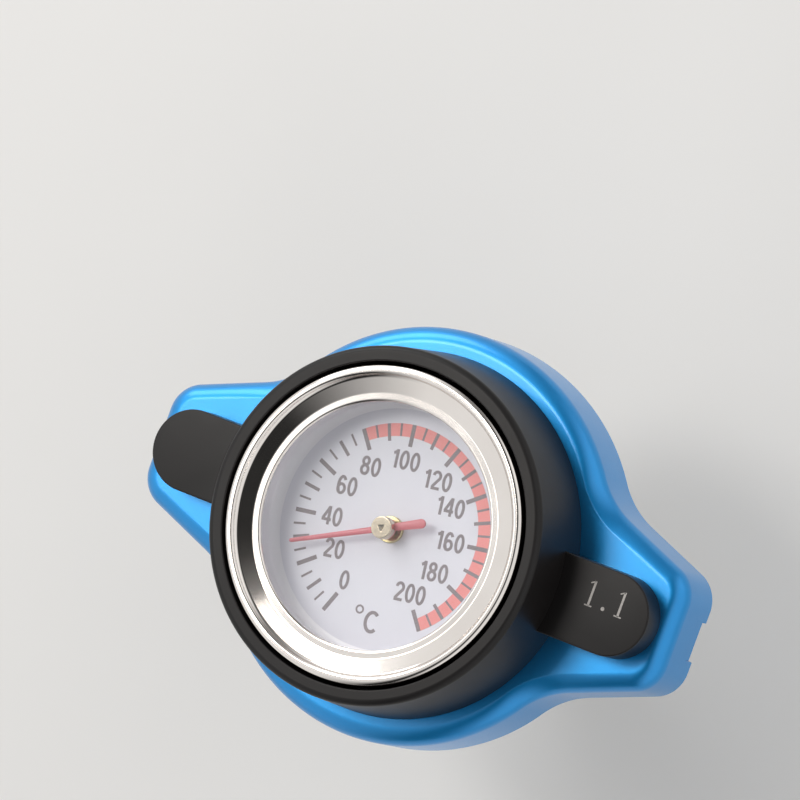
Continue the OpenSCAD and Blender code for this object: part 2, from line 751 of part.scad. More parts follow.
module bayonet_plate() {
    claw_z = -claw_drop - plate_t;
    color("#c8c8c4") {
        difference() {
            pressed_cup(stem_hole_r, skirt_r, claw_z, under_z, plate_t);
            at_pins() translate([0, 0, plate_z - past]) cylinder(d = pin_d, h = plate_t + 2 * past);
        }
        each_wing() rotate([0, 0, -claw_sweep / 2]) rotate_extrude(angle = claw_sweep)
            translate([claw_bore_d / 2, claw_z])
                square([skirt_r - claw_bore_d / 2 - plate_t / 2, plate_t]);
    }
}

module plate_pins() {
    color("#a0a0a0") at_pins() translate([0, 0, plate_z]) cylinder(d = pin_d, h = plate_t + pin_depth);
}

module diaphragm() {
    color("#d0d0cc") ring(stem_hole_r, diaphragm_d / 2, diaphragm_z, plate_z);
}

module neck_gasket() {
    color("#262626") ring(gasket_bore_d / 2, gasket_d / 2, 0, gasket_t);
}

module lock_washer() {
    color("#b0b0b0") ring(stem_hole_r, washer_d / 2, washer_z, diaphragm_z);
}

module stem_nut() {
    chamfer = nut_corner_r - nut_af / 2;
    color("#c8b070") difference() {
        intersection() {
            translate([0, 0, nut_z]) cylinder(r = nut_corner_r, h = nut_h, $fn = 6);
            translate([0, 0, nut_z]) union() {
                cylinder(r1 = nut_af / 2, r2 = nut_corner_r, h = chamfer / 2);
                translate([0, 0, chamfer / 2]) cylinder(r = nut_corner_r, h = nut_h - chamfer / 2);
            }
        }
        translate([0, 0, nut_z - past]) cylinder(r = stem_r, h = nut_h + 2 * past);
    }
}

module spring_seat() {
    color("#c0c0bc") {
        ring(seat_in_r, seat_out_r, seat_z, seat_z + seat_t);
        ring(seat_in_r, seat_in_r + seat_t, seat_z - seat_lip_h, seat_z + eps);
    }
}

pressure_path = spring_path(spring_d / 2, spring_foot_z, spring_top_z, spring_turns, spring_wire);

module pressure_spring() {
    color("#a8a8ac") wound_wire(pressure_path, spring_wire);
}

module valve_bell() {
    bell_r = bell_d / 2;
    bell_in_r = bell_r - valve_sheet;
    port_z = (bell_top_z + bell_foot_z) / 2;
    color("#c8c8c4") difference() {
        union() {
            pressed_cup(slide_r, bell_r, bell_foot_z, bell_top_z, valve_sheet);
            ring(slide_r, slide_r + bell_hub_wall, bell_hub_z, bell_top_z - valve_sheet / 2);
            ring(bell_in_r, bell_flange_d / 2, bell_foot_z, bell_foot_z + valve_sheet);
        }
        for (i = [0:port_count - 1]) rotate([0, 90, 360 * i / port_count])
            translate([-port_z, 0, bell_in_r - past]) cylinder(d = port_d, h = valve_sheet + 2 * past);
    }
}

module valve_plate() {
    color("#c8c8c4") {
        ring(flow_r, crimp_r, valve_plate_z, bell_foot_z);
        ring(bell_flange_d / 2, crimp_r, valve_plate_z, bell_foot_z + valve_sheet);
    }
}

module valve_seal() {
    color("#262626") ring(flow_r, seal_d / 2, seal_z, valve_plate_z);
}

module retaining_clip() {
    clip_in_r = probe_r - clip_groove;
    color("#909094") rotate([0, 0, clip_mouth / 2]) rotate_extrude(angle = 360 - clip_mouth)
        translate([clip_in_r, clip_z]) square([clip_d / 2 - clip_in_r, clip_t]);
}

module vacuum_valve() {
    color("#c8b070") {
        ring(slide_r, vacuum_d / 2, vacuum_top_z - vacuum_t, vacuum_top_z);
        ring(slide_r, vacuum_stem_r, vacuum_top_z - eps, keeper_top_z);
    }
}

vacuum_path = spring_path(
    vacuum_spring_r, bell_foot_z + face_gap, keeper_z - face_gap, vacuum_turns, vacuum_wire
);

module vacuum_spring() {
    color("#a8a8ac") wound_wire(vacuum_path, vacuum_wire);
}

module vacuum_keeper() {
    color("#c8b070") ring(vacuum_stem_r, keeper_r, keeper_z, keeper_top_z);
}

// Least gaps between the turns of the wound wires, in millimetres
echo(pressure_spring_gap = self_gap(pressure_path, spring_wire));
echo(vacuum_spring_gap = self_gap(vacuum_path, vacuum_wire));
echo(bimetal_coil_gap = self_gap(coil_path, coil_wire));

cap_body();
gauge_cover();
gauge_case();
bezel_ring();
crystal();
crystal_gasket();
dial_spacer();
dial_plate();
dial_bush();
pointer();
pointer_hub();
pointer_shaft();
coil_collar();
bimetal_coil();
coil_anchor();
shaft_guide();
stem_bush();
probe_tube();
stem_seal();
bayonet_plate();
plate_pins();
diaphragm();
neck_gasket();
lock_washer();
stem_nut();
spring_seat();
pressure_spring();
valve_bell();
valve_plate();
valve_seal();
retaining_clip();
vacuum_valve();
vacuum_spring();
vacuum_keeper();
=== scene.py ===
# %% [markdown]
# # A radiator cap with a thermometer in its lid
# The real object is a blue anodised cap with two wings, a black moulded cover, and a dial gauge in
# a polished bezel. Below it hang the bayonet plate, the valve and the probe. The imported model
# already has the right sizes and joints, so this lesson only dresses it: smooth skins over the
# faceted solids, print, light and finishes. Sizes are in millimetres where metres aren't named.

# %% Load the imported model
import json

import bmesh
import bpy
import numpy as np
from mathutils import Matrix, Vector


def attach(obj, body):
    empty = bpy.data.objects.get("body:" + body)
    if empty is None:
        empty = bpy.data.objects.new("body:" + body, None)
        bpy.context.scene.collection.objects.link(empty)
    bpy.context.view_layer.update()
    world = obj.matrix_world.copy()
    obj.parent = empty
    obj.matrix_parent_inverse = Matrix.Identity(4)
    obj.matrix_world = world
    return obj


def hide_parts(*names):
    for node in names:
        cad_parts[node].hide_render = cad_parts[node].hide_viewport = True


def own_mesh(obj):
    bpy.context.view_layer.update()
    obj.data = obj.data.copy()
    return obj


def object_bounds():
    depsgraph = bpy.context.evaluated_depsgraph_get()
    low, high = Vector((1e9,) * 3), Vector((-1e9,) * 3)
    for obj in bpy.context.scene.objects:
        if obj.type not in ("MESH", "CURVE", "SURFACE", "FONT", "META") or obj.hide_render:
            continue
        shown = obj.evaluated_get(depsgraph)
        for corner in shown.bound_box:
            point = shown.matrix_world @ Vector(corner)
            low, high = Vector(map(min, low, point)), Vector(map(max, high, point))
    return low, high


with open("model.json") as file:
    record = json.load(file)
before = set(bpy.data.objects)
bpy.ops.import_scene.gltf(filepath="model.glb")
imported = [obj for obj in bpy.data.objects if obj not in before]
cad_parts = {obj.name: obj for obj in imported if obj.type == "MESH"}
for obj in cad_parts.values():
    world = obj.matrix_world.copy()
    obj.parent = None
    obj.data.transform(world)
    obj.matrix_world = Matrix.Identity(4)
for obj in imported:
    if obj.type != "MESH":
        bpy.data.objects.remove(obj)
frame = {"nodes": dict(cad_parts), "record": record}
cad_low, cad_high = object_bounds()
scene = bpy.context.scene
scene.view_settings.view_transform = "Standard"
MM = 0.001
print("nodes:", len(frame["nodes"]), "box in mm:", [round(c / MM, 1) for c in cad_high - cad_low])

# %% [markdown]
# ## The camera
# A product photo like this is taken from far off with a long lens, so that circles stay round and
# sides stay parallel. The camera is rolled as well as tilted, so its three axes are given outright.
# They came from fitting a camera to the dial's evenly spaced ticks. The aim point is a little above
# the dial, because the object sits low in the frame.

# %% Place the camera
DIAL_FACE = 10.7
CAMERA_RIGHT = Vector((0.8517, 0.3437, -0.3950))
CAMERA_UP = Vector((-0.3320, 0.9380, 0.1000))
CAMERA_BACK = Vector((0.4049, 0.0461, 0.9132))
CAMERA_DISTANCE, LENS, SENSOR, CLIP_END_METRES = 1000, 352.5, 36, 10
AIM_RIGHT, AIM_UP = 0.89, 16.62

dial_centre = Vector((0, 0, DIAL_FACE)) * MM
eye = dial_centre + CAMERA_BACK * CAMERA_DISTANCE * MM
aim = dial_centre + (CAMERA_RIGHT * AIM_RIGHT + CAMERA_UP * AIM_UP) * MM
back = (eye - aim).normalized()
right = (CAMERA_RIGHT - CAMERA_RIGHT.dot(back) * back).normalized()
up = back.cross(right)
camera = bpy.data.objects.new("camera", bpy.data.cameras.new("camera"))
camera.data.lens, camera.data.sensor_width, camera.data.clip_end = LENS, SENSOR, CLIP_END_METRES
camera.matrix_world = Matrix((right, up, back)).transposed().to_4x4()
camera.location = eye
scene.collection.objects.link(camera)
scene.camera = camera
print("camera at", [round(c, 3) for c in camera.location])

# %% [markdown]
# ## Nodes and colours
# Materials are node trees. One helper turns the sRGB hex colour that an eye or a paint chart gives
# into the linear colour that shaders work in, and one adds a node with its settings and links. A
# pattern's scale is worked out from the size of its marks in millimetres. No real surface is quite
# even, so nearly every finish drifts a little between two tones and two degrees of gloss.

# %% Helpers for materials
def linear(hex_colour):
    """sRGB hex to linear RGBA: a channel under 0.04045 is divided by 12.92, and a higher one has
    0.055 added, is divided by 1.055 and raised to the power 2.4."""
    srgb = np.array([int(hex_colour[i:i + 2], 16) for i in (1, 3, 5)]) / 255
    rgb = np.where(srgb <= 0.04045, srgb / 12.92, ((srgb + 0.055) / 1.055) ** 2.4)
    return (*rgb.tolist(), 1.0)


def marks(size_mm):
    """The scale at which a pattern on metre coordinates has marks of a size in millimetres."""
    return 1 / (size_mm * MM)


def add(tree, kind, inputs=None, to=None, **settings):
    """Adds a node of a kind with its settings, fills its inputs with plain values or links to
    outputs, and links its first output in use to the socket that it is for."""
    made = tree.nodes.new(kind)
    for name, value in settings.items():
        setattr(made, name, value)
    for socket, value in (inputs or {}).items():
        if isinstance(value, bpy.types.NodeSocket):
            tree.links.new(value, made.inputs[socket])
        else:
            made.inputs[socket].default_value = value
    if to:
        tree.links.new(next(output for output in made.outputs if output.enabled), to)
    return made


def finish(name, inputs):
    """A material with one Principled surface, its tree, its shader, and the Object coordinates to
    draw with."""
    material = bpy.data.materials.new(name)
    material.use_nodes = True
    tree = material.node_tree
    tree.nodes.clear()
    shader = add(tree, "ShaderNodeBsdfPrincipled", inputs)
    add(tree, "ShaderNodeOutputMaterial", {"Surface": shader.outputs["BSDF"]})
    place = add(tree, "ShaderNodeTexCoord").outputs["Object"]
    return material, tree, shader, place


def uneven(made, size_mm, detail, tones=None, rough=None, relief=None):
    """Makes a finish uneven and returns its material: a noise with marks of a size moves the colour
    between two tones and the roughness between two values. A relief is a noise that stands proud:
    the size of its marks, its detail, its height and its strength."""
    material, tree, shader, place = made
    drift = add(tree, "ShaderNodeTexNoise", {
        "Vector": place, "Scale": marks(size_mm), "Detail": detail}).outputs["Fac"]
    if tones:
        add(tree, "ShaderNodeMix", {"Factor": drift, "A": linear(tones[0]), "B": linear(tones[1])},
            shader.inputs["Base Color"], data_type="RGBA")
    if rough:
        add(tree, "ShaderNodeMapRange", {"Value": drift, "To Min": rough[0], "To Max": rough[1]},
            shader.inputs["Roughness"])
    if relief:
        grain_mm, grain_detail, height_mm, strength = relief
        grain = add(tree, "ShaderNodeTexNoise", {
            "Vector": place, "Scale": marks(grain_mm), "Detail": grain_detail}).outputs["Fac"]
        add(tree, "ShaderNodeBump", {
            "Height": grain, "Distance": height_mm * MM, "Strength": strength},
            shader.inputs["Normal"])
    return material


print("mid grey in linear light:", round(linear("#808080")[0], 3))

# %% [markdown]
# ## Floor and light
# A plain pale floor lies under the probe's tip. The light is two soft lamps at the upper left, a
# large one behind and to the left, and a sky that is bright on the left and on the right, fainter
# behind, and dark overhead. Polished metal is mostly a mirror, so that uneven sky is what draws the
# dark and bright bands in the bezel. The two upper lamps stand just off the direction that the
# glass mirrors to the camera: in it they would wash out the dial.

# %% Floor, lamps and sky
floor_paint = uneven(finish("matt_floor_paint", {"Roughness": 0.7}), 60, 3.0,
                     tones=("#E6E5E3", "#ECEBE9"))

FLOOR_HALF_METRES, FLOOR_GAP = 4.0, 0.1
floor_z = cad_low.z - FLOOR_GAP * MM
corners = np.array([[-1, -1], [1, -1], [1, 1], [-1, 1]]) * FLOOR_HALF_METRES
floor_mesh = bpy.data.meshes.new("floor")
floor_mesh.from_pydata(np.column_stack([corners, np.full(4, floor_z)]).tolist(), [], [[0, 1, 2, 3]])
floor_mesh.materials.append(floor_paint)
floor = bpy.data.objects.new("floor", floor_mesh)
scene.collection.objects.link(floor)

# A lamp's place and size in metres, its watts and its colour.
LAMPS = {
    "key_softbox": ((-0.225, 0.095, 0.53), (0.14, 0.19), 0.63, "#FFFAF4"),
    "left_softbox": ((-0.32, -0.01, 0.53), (0.18, 0.12), 0.16, "#FFFAF4"),
    "back_softbox": ((-0.42, 0.42, 0.33), (0.40, 0.30), 1.1, "#FFFFFF"),
}
for name, (spot, size, watts, colour) in LAMPS.items():
    lamp = bpy.data.lights.new(name, "AREA")
    lamp.shape, lamp.energy, lamp.color = "RECTANGLE", watts, linear(colour)[:3]
    lamp.size, lamp.size_y = size
    holder = bpy.data.objects.new(name, lamp)
    holder.location = spot
    holder.rotation_euler = (dial_centre - Vector(spot)).to_track_quat("-Z", "Y").to_euler()
    scene.collection.objects.link(holder)

# A direction's axis, the two places along it between which the light changes, and its strengths.
SKY = {
    "left": ("X", -0.42, -0.08, 1.12, 0.03),
    "right": ("X", 0.12, 0.45, 0.0, 1.1),
    "back": ("Y", 0.3, 0.95, 0.0, 0.3),
}
sky = bpy.data.worlds.new("soft_sky")
sky.use_nodes = True
scene.world = sky
tree = sky.node_tree
tree.nodes.clear()
heading = add(tree, "ShaderNodeTexCoord").outputs["Generated"]
heading = add(tree, "ShaderNodeSeparateXYZ", {"Vector": heading})
level = 0.0
for axis, start, end, first, last in SKY.values():
    part = add(tree, "ShaderNodeMapRange", {
        "Value": heading.outputs[axis], "From Min": start, "From Max": end,
        "To Min": first, "To Max": last}).outputs["Result"]
    level = add(tree, "ShaderNodeMath", {0: part, 1: level}, operation="ADD").outputs["Value"]
light = add(tree, "ShaderNodeBackground", {"Strength": level})
add(tree, "ShaderNodeOutputWorld", {"Surface": light.outputs["Background"]})
print("lamps:", list(LAMPS), "sky:", list(SKY))

# %% [markdown]
# ## Surfaces from numbers
# A turned or pressed part is a section carried round an axis or along a path. As arrays, that is a
# grid of points: one index runs along the section, the other round the axis or along the path. The
# helpers below make the grid's quads and the arcs that sections consist of, put surfaces into a
# mesh with outward faces, and show that mesh as a piece. Doing it with numpy keeps the formula in
# view, where a stack of modifiers would hide it.

# %% Helpers for meshes
def quads(rows, columns, wrap_rows=True):
    """Corner numbers of the quads of a grid of points, closed on itself along its columns, and
    along its rows too or left open there."""
    grid = np.arange(rows * columns).reshape(rows, columns)
    aside, below = np.roll(grid, -1, 1), np.roll(grid, -1, 0)
    ring = np.stack([grid, aside, np.roll(aside, -1, 0), below], -1)
    return (ring if wrap_rows else ring[:-1]).reshape(-1, 4).tolist()


def arc(centre, radii, start, end, count):
    """Points of an arc of a circle or an ellipse: the centre plus the radius, or the two radii,
    times the cosine and sine of evenly spaced angles."""
    angle = np.radians(np.linspace(start, end, count))
    return centre + np.column_stack([np.cos(angle), np.sin(angle)]) * radii


def unit(vectors):
    """Each row of an array over its own length."""
    return vectors / np.linalg.norm(vectors, axis=1, keepdims=True)


SEAM, SLIVER = 0.002, 0.0005


def mesh_of(name, surfaces):
    """One mesh of several surfaces in millimetres: seams merged, and faces turned outwards."""
    counts = np.cumsum([0] + [len(points) for points, _ in surfaces])
    faces = [[corner + int(start) for corner in face]
             for start, (_, own) in zip(counts, surfaces) for face in own]
    mesh = bpy.data.meshes.new(name)
    mesh.from_pydata((np.concatenate([points for points, _ in surfaces]) * MM).tolist(), [], faces)
    work = bmesh.new()
    work.from_mesh(mesh)
    bmesh.ops.remove_doubles(work, verts=work.verts, dist=SEAM * MM)
    bmesh.ops.dissolve_degenerate(work, edges=work.edges, dist=SLIVER * MM)
    bmesh.ops.recalc_face_normals(work, faces=work.faces)
    work.to_mesh(mesh)
    work.free()
    return mesh


def piece(name, shape, material, body, stands_for=(), sharp=40):
    """Shows a list of surfaces, or a mesh, as a piece that rides on a body: smooth, with edges over
    an angle in degrees left sharp."""
    mesh = mesh_of(name, shape) if isinstance(shape, list) else shape
    mesh.materials.clear()
    mesh.materials.append(material)
    mesh.shade_smooth()
    mesh.set_sharp_from_angle(angle=np.radians(sharp))
    made = bpy.data.objects.new(name, mesh)
    scene.collection.objects.link(made)
    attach(made, body)
    if stands_for:
        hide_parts(*stands_for)
    print(name, "rides on", body, "with", len(mesh.polygons), "faces")
    return made


print("quads of a closed grid of 3 by 4:", len(quads(3, 4)))

# %% [markdown]
# ## Blue anodised aluminium
# The cap is cast or forged aluminium, bead blasted and dyed blue in an anodising bath. The dye sits
# in a clear oxide layer on bright metal, so the eye gets a coloured metal under a thin colourless
# gloss. That is a metallic base with a coat. Blasting leaves a fine satin grain, and a few dust
# pits show on the flat top.

# %% The cap's finish
made = finish("anodised_aluminium_blue", {
    "Metallic": 1.0, "Coat Weight": 0.6, "Coat Roughness": 0.18, "Coat IOR": 1.6})
anodised_blue = uneven(made, 9, 4.0, tones=("#1A8ED6", "#269AE0"))
_, tree, shader, place = made
# Real blasting grain is near 0.05 mm, too fine for the render, so it is drawn at 0.22 mm.
grain = add(tree, "ShaderNodeTexNoise", {
    "Vector": place, "Scale": marks(0.22), "Detail": 2.0}).outputs["Fac"]
add(tree, "ShaderNodeMapRange", {"Value": grain, "To Min": 0.36, "To Max": 0.46},
    shader.inputs["Roughness"])
pit = add(tree, "ShaderNodeTexVoronoi", {"Vector": place, "Scale": marks(4.5)}).outputs["Distance"]
pit_edge = add(tree, "ShaderNodeMapRange", {
    "Value": pit, "From Min": 0.0, "From Max": 0.035}).outputs["Result"]
relief = add(tree, "ShaderNodeMath", {0: grain, 1: pit_edge}, operation="ADD").outputs["Value"]
add(tree, "ShaderNodeBump", {"Height": relief, "Distance": 0.012 * MM, "Strength": 0.5},
    shader.inputs["Normal"])
print("made", anodised_blue.name)

# %% [markdown]
# ## The cap's skin
# The cap is a disc with two tapered wings. Its edge is the same all the way round: a straight wall
# and a broad round up to the flat top. A sculpted mesh would never keep that section even, so the
# outline is built as points with outward directions, and the section is carried along it: each
# point of the section is an inset from the outline and a height. Only in the four roots of the
# wings does the round end in a fine crease, where the polishing belt couldn't reach, so it meets
# the top at a small slope there.

# %% Outline and edge section of the cap
WING_X, WING_END, WING_TAPER, WING_CORNER, WING_ROOT, BODY_R = 38.9, 14.4, 21.0, 4.5, 12.0, 27.1
RIM_Z, RIM_CHAMFER, EDGE_R, TOP_Z, CREASE_SLOPE, CREASE_REACH = -4.3, 0.3, 2.3, 5.4, 0.25, 5.0
NOTCH_W, NOTCH_H, NOTCH_DEPTH, NOTCH_EDGE = 5.2, 2.4, 0.5, 0.04

flank = np.array([np.sin(np.radians(WING_TAPER)), np.cos(np.radians(WING_TAPER))])
flank_reach = flank @ [WING_X, WING_END / 2]


def flank_y(x, margin):
    """Half width of a wing at x, where its flank is the line n.p = reach, moved in by a margin."""
    return (flank_reach - margin - flank[0] * x) / flank[1]


corner_c = np.array([WING_X - WING_CORNER, flank_y(WING_X - WING_CORNER, WING_CORNER)])
root_along = np.sqrt((BODY_R + WING_ROOT) ** 2 - (flank_reach + WING_ROOT) ** 2)
root_c = (flank_reach + WING_ROOT) * flank + root_along * np.array([flank[1], -flank[0]])
root_angle = np.degrees(np.arctan2(root_c[1], root_c[0]))


def edge_arc(centre, radius, start, end, count, side=1):
    """An arc of an outline, each point with the unit direction that faces out of the outline: away
    from the arc's centre, or towards it where the side is -1."""
    points = arc(centre, radius, start, end, count)
    return np.hstack([points, side * (points - centre) / radius])


notch_y = NOTCH_W / 2 + NOTCH_EDGE * np.array([-1, 1])
end_y = np.append(np.linspace(0, notch_y[0], 5), notch_y[1])
wing_end = np.column_stack([np.full(len(end_y), WING_X), end_y, np.tile([1, 0], (len(end_y), 1))])
corner = edge_arc(corner_c, WING_CORNER, 0, 90 - WING_TAPER, count=25)
root = edge_arc(root_c, WING_ROOT, 270 - WING_TAPER, 180 + root_angle, count=25, side=-1)
share = np.linspace(0, 1, 8)[1:-1, None]
side = corner[-1, :2] + (root[0, :2] - corner[-1, :2]) * share
side = np.hstack([side, np.tile(flank, (len(side), 1))])
waist = edge_arc(np.zeros(2), BODY_R, root_angle, 90, count=49)[1:]
quarter = np.vstack([wing_end, corner, side, root, waist])
outline = np.vstack([
    quarter, quarter[-2::-1] * [-1, 1, -1, 1],
    quarter[1:] * [-1, -1, -1, -1], quarter[-2:0:-1] * [1, -1, 1, -1]])

wall_z = RIM_Z + np.array([0, RIM_CHAMFER, NOTCH_H - NOTCH_EDGE, NOTCH_H + NOTCH_EDGE])
wall = np.column_stack([[RIM_CHAMFER, 0, 0, 0], wall_z])
edge_turn = np.radians(np.linspace(0, 90, 25))


def edge_height(turn, crease):
    """Height of the round at a turn t from the wall: the radius times the sine of t over the wall's
    top, lowered by a share c times the cosine of t, so that it meets the flat top at a slope of
    c."""
    return TOP_Z - EDGE_R + EDGE_R * np.sin(turn) * (1 - crease * np.cos(turn))


root_mid = np.abs(root[len(root) // 2, :2])
to_root = np.linalg.norm(np.abs(outline[:, :2]) - root_mid, axis=1)
crease = CREASE_SLOPE * np.exp(-(to_root / CREASE_REACH) ** 2)
print("outline points:", len(outline), "section points:", len(wall) + len(edge_turn))

# %% [markdown]
# The inside follows from the same outline. From the round the flat top runs in to the stem's hole,
# drops through it, spreads over the roof of the well and comes down the well's wall to the rim. A
# first ring close to the round holds the top flat under smooth shading.

# %% The cap's skin, top and well
SEAL_R, SEAL_Z, STEM_R, ROOF_Z, WELL_R = 5.46, 4.1, 4.15, 3.2, 23.3
TOP_HOLD, TOP_RINGS, END_NEAR = 0.003, 8, 0.1

count = len(outline)
inset = np.concatenate([wall[:, 0], EDGE_R * (1 - np.cos(edge_turn))])
inset = np.tile(inset[:, None], (1, count))
height = np.vstack([
    np.tile(wall[:, 1, None], (1, count)), edge_height(edge_turn[:, None], crease[None])])
at_end = np.abs(outline[:, 0]) > WING_X - END_NEAR
in_notch = (np.abs(outline[:, 1]) < NOTCH_W / 2) & at_end
inset += NOTCH_DEPTH * (height < RIM_Z + NOTCH_H) * in_notch
skin = np.dstack([outline[None, :, :2] - inset[..., None] * outline[None, :, 2:], height])
bearing = unit(outline[:, :2])
share = np.append(TOP_HOLD, np.linspace(0, 1, TOP_RINGS + 1)[1:])[:, None, None]
top = skin[-1][None, :, :2] * (1 - share) + bearing[None] * SEAL_R * share
top = np.dstack([top, np.full((len(share), count), TOP_Z)])
inner_r = np.array([SEAL_R, STEM_R, STEM_R, WELL_R, WELL_R, WELL_R])
inner_z = np.array([SEAL_Z, SEAL_Z, ROOF_Z, ROOF_Z, (ROOF_Z + RIM_Z) / 2, RIM_Z])
inner = np.dstack([inner_r[:, None, None] * bearing[None], np.tile(inner_z[:, None], (1, count))])
rows = np.concatenate([skin, top, inner])
shell = (rows.reshape(-1, 3), quads(len(rows), count, wrap_rows=False))
print("rings from the rim over the top and down the well:", len(rows))

# %% [markdown]
# Each wing is hollow below, as a casting is, with an open pocket whose walls follow the flanks. The
# rim is filled last, between its four edge loops: the outline, the well and the two pockets.

# %% The cap's pockets and rim
POCKET_WALL, POCKET_CORNER, POCKET_TOP, POCKET_FILLET = 2.4, 2.5, 2.6, 0.8


def drawn_in(loop, rows):
    """Rings from a loop of points with outward directions: for each row's inset and height, the
    points move in by the inset and lie at the height."""
    return np.stack([
        np.column_stack([loop[:, :2] - inset * loop[:, 2:], np.full(len(loop), z)])
        for inset, z in rows])


pocket_x = np.array([WING_X - POCKET_WALL - POCKET_CORNER, WELL_R + POCKET_WALL + POCKET_CORNER])
pocket_y = flank_y(pocket_x, POCKET_WALL + POCKET_CORNER)
half = np.vstack([
    edge_arc((pocket_x[0], pocket_y[0]), POCKET_CORNER, 0, 90 - WING_TAPER, count=9),
    edge_arc((pocket_x[1], pocket_y[1]), POCKET_CORNER, 90 - WING_TAPER, 180, count=9)])
loop = np.vstack([half, half[::-1] * [1, -1, 1, -1]])
fillet = arc((POCKET_FILLET, POCKET_TOP - POCKET_FILLET), POCKET_FILLET, 180, 90, 7)
pocket = drawn_in(loop, np.vstack([[0, RIM_Z], fillet]))


def pocket_surface(sign):
    """A pocket's wall and roof on one wing: rings that draw in as they rise, the last one closed by
    a face."""
    points = (pocket * [sign, sign, 1]).reshape(-1, 3)
    roof = [list(range(len(points) - len(loop), len(points)))]
    return points, quads(len(pocket), len(loop), wrap_rows=False) + roof


cap_mesh = mesh_of("cap_shell", [shell, pocket_surface(1), pocket_surface(-1)])
work = bmesh.new()
work.from_mesh(cap_mesh)
rim = [edge for edge in work.edges if edge.is_boundary]
bmesh.ops.triangle_fill(work, use_beauty=True, edges=rim)
bmesh.ops.recalc_face_normals(work, faces=work.faces)
print("rim edges filled:", len(rim), "left open:", sum(edge.is_boundary for edge in work.edges))
work.to_mesh(cap_mesh)
work.free()
piece("cap_shell", cap_mesh, anodised_blue, "cap", ["cap_body"])

# %% [markdown]
# ## Black moulded cover
# The cover is an injection moulding in black nylon: a cup round the gauge with two tongues that lie
# along the wings. A spark-eroded mould gives it a fine matt texture, and handling has polished that
# texture a little. A dark warm grey with a tiny bump and an uneven gloss shows this better than
# pure black would.

# %% The cover's finish
# Mould texture is near 0.05 mm, drawn at 0.18 mm so that it shows.
made = finish("moulded_nylon_black", {"IOR": 1.53, "Specular IOR Level": 0.3})
black_nylon = uneven(made, 6, 5.0, ("#0F0D0D", "#171414"), (0.36, 0.46),
                     relief=(0.18, 2.0, 0.008, 0.35))
print("made", black_nylon.name)

# %% [markdown]
# Turned and pressed pieces, from the cover to the valve, share a few more helpers: they round a
# section's corners, turn a section round the axis, lay a skin through rings, and join meshes with
# an exact Boolean, so that the corner where two forms meet is a real edge.

# %% Helpers for turned and joined pieces
HOLD = 0.02


def rounded(corners, radii, steps=7):
    """A closed polygon with each corner replaced by an arc. The arc's centre is on the corner's
    bisector, its radius over the sine of the half angle away, and its ends are its radius over that
    angle's tangent away. A point just past either end, at most a third of the flat away, holds the
    flat beside it flat, so that smooth shading doesn't bend it."""
    corner = np.array(corners, float)
    radius = np.broadcast_to(radii, len(corners)).astype(float)
    before, after = unit(np.roll(corner, 1, 0) - corner), unit(np.roll(corner, -1, 0) - corner)
    half = np.arccos(np.clip((before * after).sum(1), -1, 1)) / 2
    centre = corner + unit(before + after) * (radius / np.sin(half))[:, None]
    reach = radius / np.tan(half)
    first = corner + before * reach[:, None] - centre
    last = corner + after * reach[:, None] - centre
    length = np.linalg.norm(np.roll(corner, -1, 0) - corner, axis=1)
    spare = np.clip((length - reach - np.roll(reach, -1)) / 3, 0, HOLD)
    entry = corner + before * (reach + np.roll(spare, 1))[:, None]
    leave = corner + after * (reach + spare)[:, None]
    angle = np.arctan2(first[:, 1], first[:, 0])
    turn = (np.arctan2(last[:, 1], last[:, 0]) - angle + np.pi) % (2 * np.pi) - np.pi
    swept = angle[:, None] + turn[:, None] * np.linspace(0, 1, steps)
    bend = centre[:, None] + radius[:, None, None] * np.stack([np.cos(swept), np.sin(swept)], -1)
    return np.hstack([entry[:, None], bend, leave[:, None]]).reshape(-1, 2)


def washer(inside, outside, low, top, radii):
    """The section of a flat ring between two radii and two heights, with rounded corners."""
    return rounded([(inside, low), (outside, low), (outside, top), (inside, top)], radii)


def turned(section, angle):
    """Rings of a section turned round Z: the point (r, z) at angle a goes to (r cos a, r sin a,
    z)."""
    r, z = np.array(section).T
    return np.stack([
        np.outer(np.cos(angle), r), np.outer(np.sin(angle), r), np.tile(z, (len(angle), 1))], -1)


def lathe(section, steps):
    """A closed section turned all the way round Z in a number of steps."""
    rings = turned(section, 2 * np.pi * np.arange(steps) / steps)
    return rings.reshape(-1, 3), quads(steps, len(section))


def stack(rings):
    """A skin through closed rings of points, one after the other, with a flat face on the first and
    the last."""
    rings = np.array(rings, float)
    rows, columns = rings.shape[:2]
    ends = [list(range(columns)), list(range((rows - 1) * columns, rows * columns))]
    return rings.reshape(-1, 3), quads(rows, columns, wrap_rows=False) + ends


def joined(name, meshes, operation="UNION"):
    """One closed skin from closed meshes by Blender's exact Boolean, which leaves nothing inside:
    the first mesh with the others added, or with DIFFERENCE taken away."""
    holders = [bpy.data.objects.new(f"{name}_{i}", mesh) for i, mesh in enumerate(meshes)]
    for holder in holders:
        scene.collection.objects.link(holder)
    for other in holders[1:]:
        step = holders[0].modifiers.new(other.name, "BOOLEAN")
        step.operation, step.solver, step.object = operation, "EXACT", other
    shown = holders[0].evaluated_get(bpy.context.evaluated_depsgraph_get())
    mesh = bpy.data.meshes.new_from_object(shown)
    mesh.name = name
    for holder in holders:
        bpy.data.objects.remove(holder)
    return mesh


print("a washer's faces:", len(lathe(washer(1, 2, 0, 1, 0.1), 160)[1]))

# %% [markdown]
# The cup is a turned section. Each tongue is a round-ended bar whose rings draw in over a small
# quarter circle at the top. Cup and tongues are joined into one skin.

